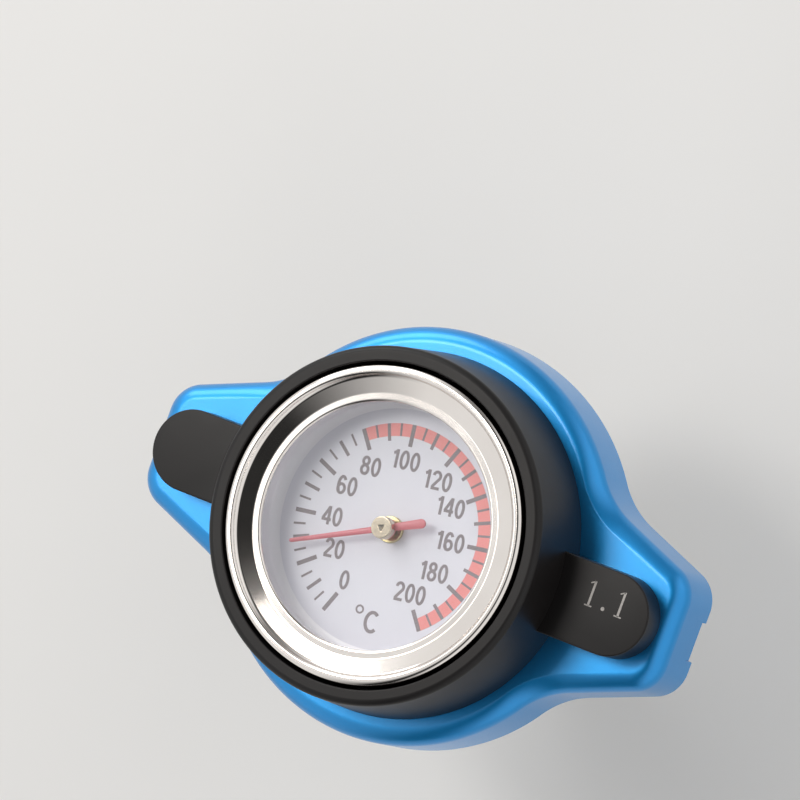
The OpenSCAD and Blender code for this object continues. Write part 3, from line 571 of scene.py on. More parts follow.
# %% The cover
COVER_Z, COVER_FLOOR, COVER_RIM_Z = 5.4, 7.5, 17.35
COVER_BORE, COVER_RIM, COVER_BASE, COVER_EDGE = 21.0, 23.0, 23.8, 0.85
COVER_ROUNDS = [0.05, 0.1, COVER_EDGE, 0.2, 0.3, 0.05]
TONGUE_HALF, TONGUE_X, TONGUE_TOP, TONGUE_EDGE = 5.4, 31.4, 9.5, 0.2

cup = rounded([
    (STEM_R, COVER_Z), (COVER_BASE, COVER_Z), (COVER_RIM, COVER_RIM_Z), (COVER_BORE, COVER_RIM_Z),
    (COVER_BORE, COVER_FLOOR), (STEM_R, COVER_FLOOR)], COVER_ROUNDS)
tongue_start = (COVER_BORE + COVER_RIM) / 2
tip = edge_arc((TONGUE_X, 0), TONGUE_HALF, -90, 90, count=41)
heel = np.array([[tongue_start, TONGUE_HALF, 0, 1], [tongue_start, -TONGUE_HALF, 0, -1]])
edge_round = arc((TONGUE_EDGE, TONGUE_TOP - TONGUE_EDGE), TONGUE_EDGE, 180, 90, 7)
tongue = drawn_in(np.vstack([tip, heel]), np.vstack([[0, COVER_Z], edge_round]))
cover_mesh = joined("cover_moulding", [
    mesh_of("cup", [lathe(cup, 192)]),
    mesh_of("tongue_right", [stack(tongue)]),
    mesh_of("tongue_left", [stack(tongue * [-1, -1, 1])])])
piece("cover_moulding", cover_mesh, black_nylon, "cap", ["gauge_cover"])

# %% [markdown]
# ## Digits as strokes
# The rating on the tongue and the numbers on the dial are strokes of even width, as an engraving
# machine draws them. A text object would bring a typeface with it, so each digit is a few arcs and
# lines in a box one unit high, and a stroke is a thin closed strip along such a path.

# %% Strokes and digits
def strip(path, width, low, high):
    """A flat strip along a path: each point is moved half the width to both sides along the path's
    normal, at two heights, and the four points of each step make a closed tube. A path that ends
    where it starts is a ring."""
    path = np.array(path, float)
    ring = len(path) > 3 and np.allclose(path[0], path[-1])
    path = path[:-1] if ring else path
    ahead = np.roll(path, -1, 0) - np.roll(path, 1, 0) if ring else np.gradient(path, axis=0)
    ahead = unit(ahead)
    aside = np.column_stack([-ahead[:, 1], ahead[:, 0]]) * width / 2
    points = np.stack([
        np.column_stack([path + way * aside, np.full(len(path), z)])
        for way, z in ((1, low), (-1, low), (-1, high), (1, high))], 1).reshape(-1, 3)
    ends = [] if ring else [[0, 1, 2, 3], list(range(len(points) - 4, len(points)))]
    return points, quads(len(path), 4, wrap_rows=ring) + ends


DIGIT_W, DIGIT_STEP, ONE_STEP, DIGIT_STROKE, DIGIT_WIDEN = 0.42, 0.50, 0.42, 0.16, 1.26
STROKE_LIFT = 0.004
DIGITS = {
    "0": [arc((0.21, 0.5), (0.155, 0.443), 90, 450, 49)],
    "1": [[(0.26, 0.0), (0.26, 1.0)], arc((-0.02, 1.02), (0.28, 0.26), -68, -12, 9)],
    "2": [np.vstack([
        arc((0.21, 0.71), (0.155, 0.233), 172, -28, 25), [(0.20, 0.36), (0.055, 0.10)]]),
        [(0.02, 0.057), (0.40, 0.057)]],
    "4": [[(0.31, 0.0), (0.31, 1.0)], [(0.30, 0.97), (0.035, 0.28)],
          [(0.0, 0.275), (0.43, 0.275)]],
    "6": [arc((0.21, 0.30), (0.155, 0.243), 90, 450, 41),
          arc((0.215, 0.50), (0.16, 0.443), 38, 236, 33)],
    "8": [arc((0.21, 0.745), (0.13, 0.198), 90, 450, 37),
          arc((0.21, 0.285), (0.155, 0.228), 90, 450, 37)],
    "C": [arc((0.30, 0.5), (0.25, 0.443), 46, 314, 41)],
}


def written(text, middle, height, low, high):
    """Strips for a row of digits of a height, centred on a point: each digit's box is moved along
    by the steps of those before it. A one is narrow, so its step is shorter. Each stroke lies a
    little over the last."""
    size = np.array([DIGIT_WIDEN, 1]) * height
    steps = [ONE_STEP if digit == "1" else DIGIT_STEP for digit in text[:-1]]
    along = np.cumsum([0.0] + steps)
    start = np.array(middle) - np.array([along[-1] + DIGIT_W, 1]) * size / 2
    return [strip(start + (np.array(path) + [shift, 0]) * size, DIGIT_STROKE * height,
                  low, high + STROKE_LIFT * order)
            for shift, digit in zip(along, text) for order, path in enumerate(DIGITS[digit])]


print("strokes drawn for:", " ".join(DIGITS))

# %% [markdown]
# The pressure rating on the right tongue is burnt in by a laser, which bleaches black nylon to a
# thin pale grey line. It is a hair's depth of geometry rather than a picture, so it stays sharp at
# any zoom.

# %% The rating on the tongue
bleached_nylon = uneven(finish("laser_bleached_nylon", {"IOR": 1.53}), 0.3, 3.0,
                        ("#8E8985", "#CFCBC6"), (0.5, 0.7))

RATING_LINE, RATING_HEIGHT, RATING_STEM, RATING_HAIR = 0.02, 3.25, 0.3, 0.17
RATING_FOOT, RATING_FLAG, RATING_FLAG_DROP, FLAG_LAP = 0.52, 0.6, 0.4, 0.05
RATING_DEPTH = (TONGUE_TOP - 0.03, TONGUE_TOP + 0.015)
FIRST_ONE_X, DOT_X, SECOND_ONE_X = 28.3, 30.36, 32.6
DOT_UP, DOT_R, DOT_LINE = 0.26, 0.13, 0.255


def thin_one(x):
    """A thin upright one with a hairline foot and flag, standing on the rating's line at x."""
    top_y = RATING_LINE + RATING_HEIGHT
    strokes = [
        ((x, RATING_LINE), (x, top_y), RATING_STEM),
        ((x - RATING_FOOT, RATING_LINE), (x + RATING_FOOT, RATING_LINE), RATING_HAIR),
        ((x, top_y - FLAG_LAP), (x - RATING_FLAG, top_y - RATING_FLAG_DROP), RATING_HAIR)]
    return [strip([start, end], width, *RATING_DEPTH) for start, end, width in strokes]


dot_round = arc((DOT_X, RATING_LINE + DOT_UP), DOT_R, 0, 360, 17)
dot = strip(dot_round, DOT_LINE, *RATING_DEPTH)
rating = thin_one(FIRST_ONE_X) + [dot] + thin_one(SECOND_ONE_X)
piece("pressure_rating", rating, bleached_nylon, "cap")

# %% [markdown]
# ## Polished steel bezel
# The bezel is stainless strip, rolled into a bead, a sloping channel and a flat lip and buffed to a
# mirror. Polishing wheels leave lines that run round the ring, so the fine bump is a noise of the
# radius alone: each radius has one height all the way round.

# %% The bezel's finish
def lines_round(made, size_mm, along_z, height_mm, strength):
    """Gives a finish fine lines that run round Z: its bump is a noise of one number, the distance
    from the origin once the height along Z is shrunk to a share."""
    _, tree, shader, place = made
    shrunk = add(tree, "ShaderNodeVectorMath", {0: place, 1: (1, 1, along_z)},
                 operation="MULTIPLY").outputs["Vector"]
    radius = add(tree, "ShaderNodeVectorMath", {0: shrunk}, operation="LENGTH").outputs["Value"]
    lines = add(tree, "ShaderNodeTexNoise", {"W": radius, "Scale": marks(size_mm), "Detail": 2.0},
                noise_dimensions="1D").outputs["Fac"]
    add(tree, "ShaderNodeBump", {"Height": lines, "Distance": height_mm * MM, "Strength": strength},
        shader.inputs["Normal"])


made = finish("polished_stainless_steel", {"Metallic": 1.0})
polished_steel = uneven(made, 7, 4.0, ("#E2DBD5", "#EFEAE5"), (0.05, 0.12))
# Buffing lines are near 0.02 mm apart, drawn at 0.12 mm.
lines_round(made, 0.12, along_z=0, height_mm=0.0015, strength=0.35)
print("made", polished_steel.name)

# %% The bezel
GLASS_TOP, GLASS_LOW, GLASS_R = 16.3, 14.8, 19.25
BEZEL_R, CASE_R, BEZEL_FOOT, WINDOW_R = 20.55, 20.0, 13.3, 15.9
BEAD_TOP, BEAD_IN, BEAD_LEAN, CONE_TOP, LIP_R, LIP_Z = 17.7, 19.45, 0.3, 17.15, 17.0, 16.7
BEZEL_ROUNDS = [0.1, 0.6, 0.4, 0.6, 0.8, 0.35, 0.04, 0.05, 0.1]

bezel_section = rounded([
    (BEZEL_R, BEZEL_FOOT), (BEZEL_R, BEAD_TOP), (BEAD_IN, BEAD_TOP),
    (BEAD_IN - BEAD_LEAN, CONE_TOP), (LIP_R, LIP_Z), (WINDOW_R, LIP_Z), (WINDOW_R, GLASS_TOP),
    (CASE_R, GLASS_TOP), (CASE_R, BEZEL_FOOT)], BEZEL_ROUNDS, steps=11)
piece("bezel", [lathe(bezel_section, 224)], polished_steel, "cap",
      ["bezel_ring"])

# %% [markdown]
# ## Glass, white ring and dial
# The window is a disc of float glass. It would throw a hard shadow if the lamps had to pass through
# it as refraction, so the glass is told to cast none, and the dial is lit as it is in life. Below
# it a white moulded ring holds the dial down. Its wall runs into the dial with a hollow curve,
# which shows as a soft pale rim.

# %% Glass and white ring
made = finish("float_glass", {
    "Base Color": linear("#F7FBFB"), "Transmission Weight": 1.0, "IOR": 1.5})
clear_glass = uneven(made, 8, 4.0, rough=(0.0, 0.03))
GLASS_AXIS, GLASS_ROUNDS = 0.001, [0.0002, 0.15, 0.15, 0.0002]
glass_section = washer(GLASS_AXIS, GLASS_R, GLASS_LOW, GLASS_TOP, GLASS_ROUNDS)
glass = piece("crystal_glass", [lathe(glass_section, 160)], clear_glass, "cap",
              ["crystal"])
glass.visible_shadow = False

white_styrene = uneven(finish("moulded_styrene_white", {"IOR": 1.55}), 5, 3.0,
                       ("#ECE7ED", "#F3EEF3"), (0.32, 0.42))
RING_BORE, RING_TOP, RING_FOOT = 16.8, 14.2, 1.2
foot = arc((RING_BORE - RING_FOOT, DIAL_FACE + RING_FOOT), RING_FOOT, 0, -90, 15)
ring_section = np.vstack([[(GLASS_R, DIAL_FACE), (GLASS_R, RING_TOP), (RING_BORE, RING_TOP)], foot])
piece("spacer_ring", [lathe(ring_section, 160)], white_styrene, "cap",
      ["dial_spacer"])

# %% [markdown]
# The dial is a lacquered metal disc, screen printed. Screen ink stands a few hundredths of a
# millimetre proud of the lacquer, so the ticks, the red warning band and the numbers are thin
# strips on the disc. All of it is laid out in the dial's own frame and then turned on the cap as
# one.

# %% The dial's lacquer and inks
dial_lacquer = uneven(finish("dial_lacquer_white", {"IOR": 1.5}), 4, 5.0,
                      ("#D8D4DE", "#E0DCE6"), (0.38, 0.5))
INKS = {"grey_screen_ink": ("#80747A", "#8B7F84"), "red_screen_ink": ("#EA8A88", "#F09592")}
inks = {name: uneven(finish(name, {"IOR": 1.5}), 0.25, 2.0, tones, (0.45, 0.6))
        for name, tones in INKS.items()}

dial_disc = frame["nodes"]["dial_plate"]
dial_disc.data.materials.clear()
dial_disc.data.materials.append(dial_lacquer)
print("inks:", list(inks))

# %% The dial's print
DIAL_TURN, SCALE_TOP, SCALE_TURN, SCALE_END, WARNING_START = 8.1, 100, 1.5, 200, 80
INK_LOW, BAND_HIGH, INK_HIGH = DIAL_FACE - 0.02, DIAL_FACE + 0.015, DIAL_FACE + 0.03
TICK_OUT, BAND_IN, NUMBER_HEIGHT = 13.7, 12.04, 2.4
# The ticks' spacing and first place on the scale, the radius where they start, and their width.
TICKS = {"twenties": (20, 0, 10.83, 0.55), "tens": (20, 10, 11.45, 0.44),
         "fives": (10, 5, 12.04, 0.28)}
NUMBER_PLACES = {
    0: (-4.85, -7.55), 20: (-7.2, -3.9), 40: (-8.5, 0.1), 60: (-7.4, 4.3), 80: (-4.75, 7.35),
    100: (-0.2, 9.05), 120: (4.75, 7.4), 140: (7.3, 4.4), 160: (8.3, 0.1), 180: (7.0, -4.1),
    200: (4.5, -7.4)}
UNIT_PLACE, UNIT_HEIGHT = (-0.15, -12.05), 2.8
DEGREE_PLACE, DEGREE_R, DEGREE_LINE = (-1.85, -10.75), 0.47, 0.25


def scale_angle(degrees_c):
    """The dial's angle for a temperature: 100 is straight up, and each degree turns 1.5 degrees
    clockwise."""
    return 90 - SCALE_TURN * (np.array(degrees_c) - SCALE_TOP)


def about_z(points, degrees):
    """Points turned about Z by an angle a: x cos a - y sin a, and x sin a + y cos a."""
    a = np.radians(degrees)
    spin = np.array([[np.cos(a), -np.sin(a), 0], [np.sin(a), np.cos(a), 0], [0, 0, 1]])
    return points @ spin.T


def dial_print(name, surfaces, ink):
    """Print in one ink, turned from the dial's own frame to the cap's."""
    laid = [(about_z(points, DIAL_TURN), faces) for points, faces in surfaces]
    return piece(name, laid, ink, "cap")


ticks = []
for step, first, inside, width in TICKS.values():
    for angle in np.radians(scale_angle(np.arange(first, SCALE_END + 1, step))):
        ray = np.array([np.cos(angle), np.sin(angle)])
        ticks.append(strip([ray * inside, ray * TICK_OUT], width, INK_LOW, INK_HIGH))
numbers = [part for value, spot in NUMBER_PLACES.items()
           for part in written(str(value), spot, NUMBER_HEIGHT, INK_LOW, INK_HIGH)]
degree = arc(DEGREE_PLACE, DEGREE_R, 90, 450, 25)
celsius = written("C", UNIT_PLACE, UNIT_HEIGHT, INK_LOW, INK_HIGH)
celsius.append(strip(degree, DEGREE_LINE, INK_LOW, INK_HIGH))
dial_print("dial_print_grey", ticks + numbers + celsius, inks["grey_screen_ink"])

band_r = (BAND_IN + TICK_OUT) / 2
band_path = arc((0, 0), band_r, scale_angle(WARNING_START), scale_angle(SCALE_END), 97)
band = strip(band_path, TICK_OUT - BAND_IN, INK_LOW, BAND_HIGH)
dial_print("dial_print_red", [band], inks["red_screen_ink"])

# %% [markdown]
# ## Pointer, button and bush
# The pointer is a stamped strip, painted red and riveted under a turned button. The punch that
# staked the button left a three-sided dent in it. A strip with a slightly crowned top catches the
# light along its length, and the dent is pressed into the button's top as a small pyramid.

# %% The pointer
red_paint = uneven(finish("pointer_paint_red", {"IOR": 1.5, "Coat Weight": 0.2}), 0.6, 3.0,
                   ("#C0606A", "#CA6C75"), (0.35, 0.5))

POINTER_REST, POINTER_Z, POINTER_T = 198, 12.5, 0.3
POINTER_L, TAIL_L, TIP_W, ROOT_W, TAIL_W = 13.4, 5.6, 0.5, 0.85, 1.2
BOSS_BORE, BOSS_R, BOSS_TOP, BOSS_ROUND = 1.0, 1.45, 12.8, 0.05
# The section of the strip: places across it as shares of the half width, and heights as shares of
# the thickness.
ACROSS = np.array([-1, -1, -0.6, 0, 0.6, 1, 1])
CROWN = np.array([0, 0.72, 0.94, 1, 0.94, 0.72, 0])


def blade(length_at, width_at):
    """A strip along X: at each place along it the section is scaled to the half width there and to
    the thickness."""
    x = np.tile(length_at[:, None], (1, len(ACROSS)))
    y = width_at[:, None] / 2 * ACROSS
    return stack(np.dstack([x, y, np.tile(CROWN * POINTER_T, (len(length_at), 1))]))


tip_turn = np.radians(np.linspace(0, 88, 9))
tail_turn = tip_turn[::-1]
blade_x = np.concatenate([
    -TAIL_L + TAIL_W / 2 * (1 - np.sin(tail_turn)), [0.0],
    POINTER_L - TIP_W / 2 * (1 - np.sin(tip_turn))])
blade_w = np.concatenate([TAIL_W * np.cos(tail_turn), [ROOT_W], TIP_W * np.cos(tip_turn)])
points, faces = blade(blade_x, blade_w)
points = about_z(points, DIAL_TURN + POINTER_REST) + [0, 0, POINTER_Z]
boss = lathe(washer(BOSS_BORE, BOSS_R, POINTER_Z, BOSS_TOP, BOSS_ROUND), 64)
piece("pointer_blade", [(points, faces), boss], red_paint, "pointer_set",
      ["pointer"])

# %% [markdown]
# Bar stock turned on a lathe keeps fine rings on its faces, which pull the highlight into a soft
# cross. The same lines as on the bezel draw them, only deeper. The bush is brass, and the button is
# paler nickel silver.

# %% Turned metals, button and bush
# Turning marks are near 0.03 mm apart, drawn at 0.1 mm.
TURNED = {
    "turned_brass": (("#C8B583", "#DBCBA3"), 0.27, 0.4),
    "turned_nickel_silver": (("#CBB8A2", "#DFCFBC"), 0.1, 0.12)}
turned_metals = []
for name, (tones, rough, strength) in TURNED.items():
    made = finish(name, {"Metallic": 1.0})
    turned_metals.append(uneven(made, 1.5, 4.0, tones, (rough * 0.7, rough * 1.3)))
    lines_round(made, 0.1, along_z=0.3, height_mm=0.004, strength=strength)
turned_brass, nickel_silver = turned_metals

BUTTON_R, BUTTON_LOW, BUTTON_TOP, BUTTON_EDGE = BOSS_R, BOSS_TOP, 14.0, 0.14
BUTTON_BORE, BORE_DEPTH, DENT_SIZE, DENT_DEPTH, DENT_TURN = 0.62, 0.6, 0.65, 0.2, 20
FACE_RINGS, FACE_NEAR = 60, 1e-6
flat_r, bore_top = BUTTON_R - BUTTON_EDGE, BUTTON_LOW + BORE_DEPTH
edge_part = arc((flat_r, BUTTON_TOP - BUTTON_EDGE), BUTTON_EDGE, 0, 90, 7)
face_r = np.linspace(flat_r, 0.0, FACE_RINGS + 1)[1:]
button_section = np.vstack([
    [(BUTTON_BORE, BUTTON_LOW), (BUTTON_R, BUTTON_LOW)], edge_part,
    np.column_stack([face_r, np.full(FACE_RINGS, BUTTON_TOP)]),
    [(0.0, bore_top), (BUTTON_BORE, bore_top)]])
points, faces = lathe(button_section, 120)
# The dent's depth falls evenly with the furthest of three distances, one towards each of its sides.
sides = np.radians(np.array([90, 210, 330]) + DENT_TURN)
furthest = (points[:, :2] @ np.stack([np.cos(sides), np.sin(sides)])).max(1)
dent = DENT_DEPTH * np.clip(1 - furthest / (DENT_SIZE / 2), 0, 1)
points[:, 2] -= np.where(points[:, 2] > BUTTON_TOP - FACE_NEAR, dent, 0)
piece("pointer_button", [(points, faces)], nickel_silver, "pointer_set", ["pointer_hub"])

BUSH_BORE, BUSH_R, BUSH_FLANGE, BUSH_LOW, BUSH_TOP = 0.65, 1.25, 1.75, 9.3, 11.3
bush_section = rounded([
    (BUSH_BORE, BUSH_LOW), (BUSH_R, BUSH_LOW), (BUSH_R, DIAL_FACE), (BUSH_FLANGE, DIAL_FACE),
    (BUSH_FLANGE, BUSH_TOP), (BUSH_BORE, BUSH_TOP)], [0.05, 0.05, 0.01, 0.02, 0.12, 0.05])
piece("dial_bush_ring", [lathe(bush_section, 96)], turned_brass, "cap", ["dial_bush"])

# %% [markdown]
# ## Pressed and plated steel under the cap
# The bayonet plate, the bell and the spring seat are pressed from sheet and zinc plated. Plating is
# bright but slightly cloudy, with a faint mottle from the bath. Pressed sheet never has a square
# corner, so every section has its bends rounded.

# %% Zinc plated steel and the bayonet plate
zinc_plate = uneven(finish("zinc_plated_steel", {"Metallic": 1.0}), 2.2, 6.0,
                    ("#B4B5B2", "#CFCFCB"), (0.24, 0.38), relief=(0.35, 3.0, 0.004, 0.3))

SKIRT_R, SHEET, PLATE_TOP, BEND = 23.0, 1.0, 3.2, 1.4
CLAW_LOW, CLAW_IN, CLAW_HALF = -5.6, 18.9, 28
plate_section = rounded([
    (STEM_R, PLATE_TOP - SHEET), (SKIRT_R - SHEET, PLATE_TOP - SHEET), (SKIRT_R - SHEET, CLAW_LOW),
    (SKIRT_R, CLAW_LOW), (SKIRT_R, PLATE_TOP), (STEM_R, PLATE_TOP)],
    [0.1, BEND - SHEET, 0.2, 0.2, BEND, 0.1])
claw_section = washer(CLAW_IN, SKIRT_R - SHEET / 2, CLAW_LOW, CLAW_LOW + SHEET,
                      [0.25, 0.02, 0.02, 0.25])
plate_parts = [mesh_of("plate", [lathe(plate_section, 192)])]
for middle in (0, 180):
    sweep = np.radians(np.linspace(middle - CLAW_HALF, middle + CLAW_HALF, 48))
    plate_parts.append(mesh_of(f"claw_{middle}", [stack(turned(claw_section, sweep))]))
plate = joined("bayonet_pressing", plate_parts)
piece("bayonet_pressing", plate, zinc_plate, "cap", ["bayonet_plate"])

# %% The valve's bell, plate and spring seat
SLIDE_R, FLOW_R, HUB_LOW, HUB_R = 3.05, 4.6, -9.4, 4.55
BELL_R, BELL_TOP, BELL_FOOT, BELL_SHEET, BELL_FLANGE = 8.4, -7.0, -19.8, 0.8, 12.6
bell_in, bell_under, flange_top = BELL_R - BELL_SHEET, BELL_TOP - BELL_SHEET, BELL_FOOT + BELL_SHEET
bell_section = rounded([
    (SLIDE_R, HUB_LOW), (HUB_R, HUB_LOW), (HUB_R, bell_under), (bell_in, bell_under),
    (bell_in, BELL_FOOT), (BELL_FLANGE, BELL_FOOT), (BELL_FLANGE, flange_top),
    (BELL_R, flange_top), (BELL_R, BELL_TOP), (SLIDE_R, BELL_TOP)],
    [0.1, 0.2, 0.3, BEND - BELL_SHEET, 0.3, 0.1, 0.2, 0.5, BEND, 0.1])
bell_blank = mesh_of("bell_blank", [lathe(bell_section, 128)])

CRIMP_R, CRIMP_LOW = 13.2, -20.6
crimp_section = rounded([
    (FLOW_R, CRIMP_LOW), (CRIMP_R, CRIMP_LOW), (CRIMP_R, flange_top), (BELL_FLANGE, flange_top),
    (BELL_FLANGE, BELL_FOOT), (FLOW_R, BELL_FOOT)], [0.15, 0.35, 0.25, 0.02, 0.02, 0.15])
piece("valve_plate_pressing", [lathe(crimp_section, 128)], zinc_plate, "pressure_valve",
      ["valve_plate"])

SEAT_IN, SEAT_OUT, SEAT_LOW, SEAT_TOP, SEAT_LIP, SEAT_SHEET = 8.105, 11.5, 1.34, 1.84, -0.76, 0.5
seat_wall = SEAT_IN + SEAT_SHEET
seat_section = rounded([
    (SEAT_IN, SEAT_LIP), (seat_wall, SEAT_LIP), (seat_wall, SEAT_LOW), (SEAT_OUT, SEAT_LOW),
    (SEAT_OUT, SEAT_TOP), (SEAT_IN, SEAT_TOP)], [0.15, 0.15, 0.2, 0.15, 0.15, 0.4])
piece("spring_seat_pressing", [lathe(seat_section, 128)], zinc_plate, "spring_set",
      ["spring_seat"])

# %% [markdown]
# Four round ports let coolant out of the bell. They are cut with the same exact Boolean that joins
# the cover, this time taking away round bars that lie across the bell.

# %% Ports in the bell
PORT_R, PORT_SIDES, BAR_SPARE = 1.6, 32, 1
QUARTER_TURN = np.array([[0, 1, 0], [-1, 0, 0], [0, 0, 1]])
port_z = (BELL_TOP + BELL_FOOT) / 2
around = np.linspace(0, 2 * np.pi, PORT_SIDES + 1)[:-1]
points, faces = stack([
    np.column_stack([
        np.full(PORT_SIDES, x), PORT_R * np.cos(around), port_z + PORT_R * np.sin(around)])
    for x in (-BELL_R - BAR_SPARE, BELL_R + BAR_SPARE)])
bars = [mesh_of("port_bar_x", [(points, faces)]),
        mesh_of("port_bar_y", [(points @ QUARTER_TURN, faces)])]
bell = joined("valve_bell_pressing", [bell_blank, *bars], "DIFFERENCE")
piece("valve_bell_pressing", bell, zinc_plate, "pressure_valve", ["valve_bell"])

# %% [markdown]
# ## Rubber
# The neck gasket and the valve's seal are moulded nitrile rubber: near black, matt, with a bloom
# that makes it a little grey and uneven. A high roughness and a fine bump are enough, because
# rubber hardly mirrors anything.

# %% Rubber gasket and seal
made = finish("moulded_nitrile_rubber", {"IOR": 1.52, "Specular IOR Level": 0.4})
nitrile = uneven(made, 2.5, 6.0, ("#19191A", "#2B2B2C"), (0.6, 0.82),
                 relief=(0.3, 2.0, 0.012, 0.4))

GASKET_IN, GASKET_OUT, GASKET_LOW, GASKET_TOP, GASKET_ROUND = 14.3, 18.6, 0.0, 1.9, 0.25
gasket_section = washer(GASKET_IN, GASKET_OUT, GASKET_LOW, GASKET_TOP, GASKET_ROUND)
piece("neck_gasket_ring", [lathe(gasket_section, 160)], nitrile, "cap", ["neck_gasket"])

SEAL_LOW, SEAL_OUT = -22.8, 14.0
seal_section = washer(FLOW_R, SEAL_OUT, SEAL_LOW, CRIMP_LOW, [0.2, 0.5, 0.3, 0.2])
piece("valve_seal_disc", [lathe(seal_section, 160)], nitrile, "pressure_valve",
      ["valve_seal"])

# %% [markdown]
# ## Probe, nut and vacuum valve
# The probe is a drawn stainless tube with a closed round end. Drawing leaves lines along its
# length, so its noise is stretched many times along Z. The nut is turned from hexagon bar with its
# corners chamfered: a hexagon cut by a cone is, at each height, the smaller of the two radii at
# each angle.

# %% The probe
LINE_STRETCH, LINE_SIZE = (1, 1, 0.03), 0.3
material, tree, shader, place = finish("drawn_stainless_tube", {"Metallic": 1.0})
stretched = add(tree, "ShaderNodeVectorMath", {0: place, 1: LINE_STRETCH},
                operation="MULTIPLY").outputs["Vector"]
drawn_stainless = uneven((material, tree, shader, stretched), LINE_SIZE, 3.0,
                         ("#B4B4B6", "#CACACB"), (0.16, 0.32), relief=(LINE_SIZE, 3.0, 0.004, 0.3))

PROBE_R, PROBE_IN, PROBE_TIP, PROBE_TOP = 3.0, 2.4, -45.0, 8.1
GROOVE_R, GROOVE_LOW, GROOVE_TOP = 2.75, -10.16, -9.46
dome_z = PROBE_TIP + PROBE_R
probe_section = np.vstack([arc((0, dome_z), PROBE_R, -90, 0, 17), [
    (PROBE_R, GROOVE_LOW), (GROOVE_R, GROOVE_LOW), (GROOVE_R, GROOVE_TOP), (PROBE_R, GROOVE_TOP),
    (PROBE_R, PROBE_TOP), (PROBE_IN, PROBE_TOP), (PROBE_IN, dome_z), (0, dome_z)]])
piece("probe_sheath", [lathe(probe_section, 96)], drawn_stainless, "cap",
      ["probe_tube"])

# %% The nut and the vacuum valve
NUT_FLAT, NUT_LOW, NUT_TOP, NUT_BORE = 6.5, -2.4, 1.1, 4.0
# The cone's radius at each height, from the chamfer up.
NUT_CONE = np.array([
    (6.4, NUT_LOW), (6.85, NUT_LOW + 0.15), (7.2, NUT_LOW + 0.3), (7.6, NUT_LOW + 0.45),
    (7.6, NUT_TOP - 0.02), (7.58, NUT_TOP)])
nut_angle = np.radians(np.arange(0, 360, 2.5))
hexagon = NUT_FLAT / np.cos((nut_angle + np.pi / 6) % (np.pi / 3) - np.pi / 6)
bore = np.full((2, len(nut_angle)), NUT_BORE)
nut_r = np.vstack([np.minimum(hexagon[None], NUT_CONE[:, :1]), bore])
nut_z = np.append(NUT_CONE[:, 1], [NUT_TOP, NUT_LOW])
nut_points = np.dstack([nut_r * np.cos(nut_angle), nut_r * np.sin(nut_angle),
                        np.tile(nut_z[:, None], (1, len(nut_angle)))])
nut = (nut_points.reshape(-1, 3), quads(len(nut_z), len(nut_angle)))
piece("hexagon_nut", [nut], turned_brass, "cap", ["stem_nut"], sharp=25)

VACUUM_TOP, VACUUM_R, VACUUM_T, VACUUM_STEM, KEEPER_TOP = -22.86, 8.5, 1.0, 4.0, -13.06
vacuum_low = VACUUM_TOP - VACUUM_T
vacuum_section = rounded([
    (SLIDE_R, vacuum_low), (VACUUM_R, vacuum_low), (VACUUM_R, VACUUM_TOP),
    (VACUUM_STEM, VACUUM_TOP), (VACUUM_STEM, KEEPER_TOP), (SLIDE_R, KEEPER_TOP)],
    [0.15, 0.3, 0.15, 0.2, 0.1, 0.1])
piece("vacuum_valve_disc", [lathe(vacuum_section, 128)], turned_brass, "vacuum_set",
      ["vacuum_valve"])

# %% [markdown]
# ## Springs
# A compression spring is wire on a helix whose pitch closes up in the first and last turn, with the
# ends ground flat. The path below has that pitch, the tube round it is a circle swept along, and
# grinding is a limit on the height of every point. When a valve opens its spring shortens; here each
# spring only rides on its own body with a mesh of its own.

# %% Spring steel and the springs
spring_wire = uneven(finish("drawn_spring_steel", {"Metallic": 1.0}), 0.8, 5.0,
                     ("#7F8184", "#A3A5A8"), (0.22, 0.38))
CLOSE_GAP, GROUND_TO = 0.55, np.sin(np.radians(60))


def coil(radius, wire, low, high, turns, closed_ends, sides=14, per_turn=48):
    """Wire on a helix between two heights. With closed ends the climb is slow over the first and
    last turn and fast between them; without, it is even. The circle round each path point lies in
    the plane through Z, and heights are limited to the two ends, as if ground flat."""
    t = np.linspace(0, turns, int(turns * per_turn) + 1)
    half = wire / 2 * (GROUND_TO if closed_ends else 1)
    rise = high - low - 2 * half
    slow = wire + CLOSE_GAP if closed_ends else rise / turns
    z = low + half + np.interp(t, [0, 1, turns - 1, turns], [0, slow, rise - slow, rise])
    a, b = 2 * np.pi * t, 2 * np.pi * np.arange(sides) / sides
    r = radius + wire / 2 * np.cos(b)[None] * np.ones((len(t), 1))
    tall = np.clip(z[:, None] + wire / 2 * np.sin(b)[None], low, high)
    return stack(np.dstack([r * np.cos(a)[:, None], r * np.sin(a)[:, None], tall]))


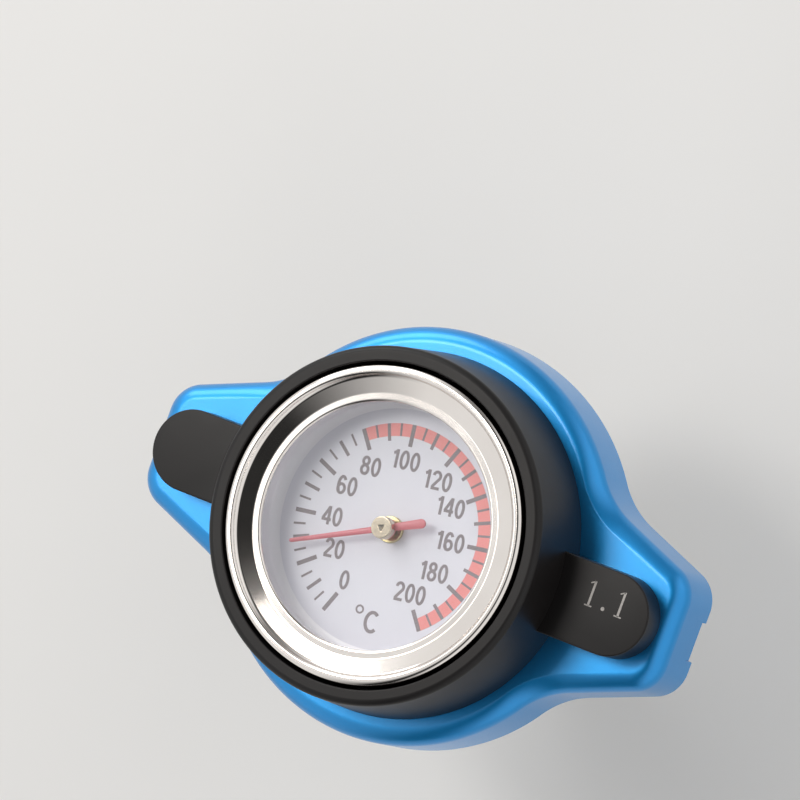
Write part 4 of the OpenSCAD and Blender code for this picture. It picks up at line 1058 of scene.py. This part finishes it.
SPRING_R, SPRING_WIRE, SPRING_TURNS = 10.2, 1.8, 5.5
SPRING_LOW, SPRING_HIGH, LIFT = -18.94, 1.28, 2.5
spring_coil = coil(SPRING_R, SPRING_WIRE, SPRING_LOW, SPRING_HIGH, SPRING_TURNS, closed_ends=True)
spring = piece("pressure_spring_wire", [spring_coil], spring_wire, "spring_set",
               ["pressure_spring"])
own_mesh(spring)

SMALL_R, SMALL_WIRE, SMALL_TURNS = 5.55, 0.7, 3.0
SMALL_LOW, SMALL_HIGH, VACUUM_TRAVEL = -19.74, -13.92, 2.0
small_coil = coil(SMALL_R, SMALL_WIRE, SMALL_LOW, SMALL_HIGH, SMALL_TURNS, closed_ends=True)
small = piece("vacuum_spring_wire", [small_coil], spring_wire, "pressure_valve",
              ["vacuum_spring"])
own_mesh(small)

# %% [markdown]
# ## The bimetal helix and the rest of the solids
# The sensing helix in the probe is rolled bimetal, warm in tone, and is wound as the springs are.
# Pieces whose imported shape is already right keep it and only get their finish. One is left to make
# for them, the slippery white plastic that guides the shaft.

# %% The helix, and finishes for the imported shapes
bimetal = uneven(finish("rolled_bimetal", {"Metallic": 1.0}), 0.5, 3.0,
                 ("#9A7A48", "#B8955C"), (0.3, 0.45))
HELIX_R, HELIX_WIRE, HELIX_LOW, HELIX_HIGH, HELIX_TURNS = 1.7, 0.6, -39.94, -21.26, 9.0
helix = coil(HELIX_R, HELIX_WIRE, HELIX_LOW, HELIX_HIGH, HELIX_TURNS, closed_ends=False,
             sides=10, per_turn=32)
piece("bimetal_helix", [helix], bimetal, "cap", ["bimetal_coil"])

ptfe = uneven(finish("turned_ptfe", {"IOR": 1.36, "Subsurface Weight": 0.1}), 1.0, 2.0,
              ("#E2E2DC", "#EFEFEA"), (0.4, 0.55))
KEPT = {"plated_steel": zinc_plate, "spring_steel": spring_wire, "brass": turned_brass,
        "rubber": nitrile, "ptfe": ptfe}
slots = {part["node"]: part["material_slot"] for part in frame["record"]["subparts"]}
dressed = [name for name, node in frame["nodes"].items()
           if not node.hide_render and slots[name] in KEPT]
for name in dressed:
    frame["nodes"][name].data.materials.clear()
    frame["nodes"][name].data.materials.append(KEPT[slots[name]])
print("packed shapes kept:", sorted(dressed))
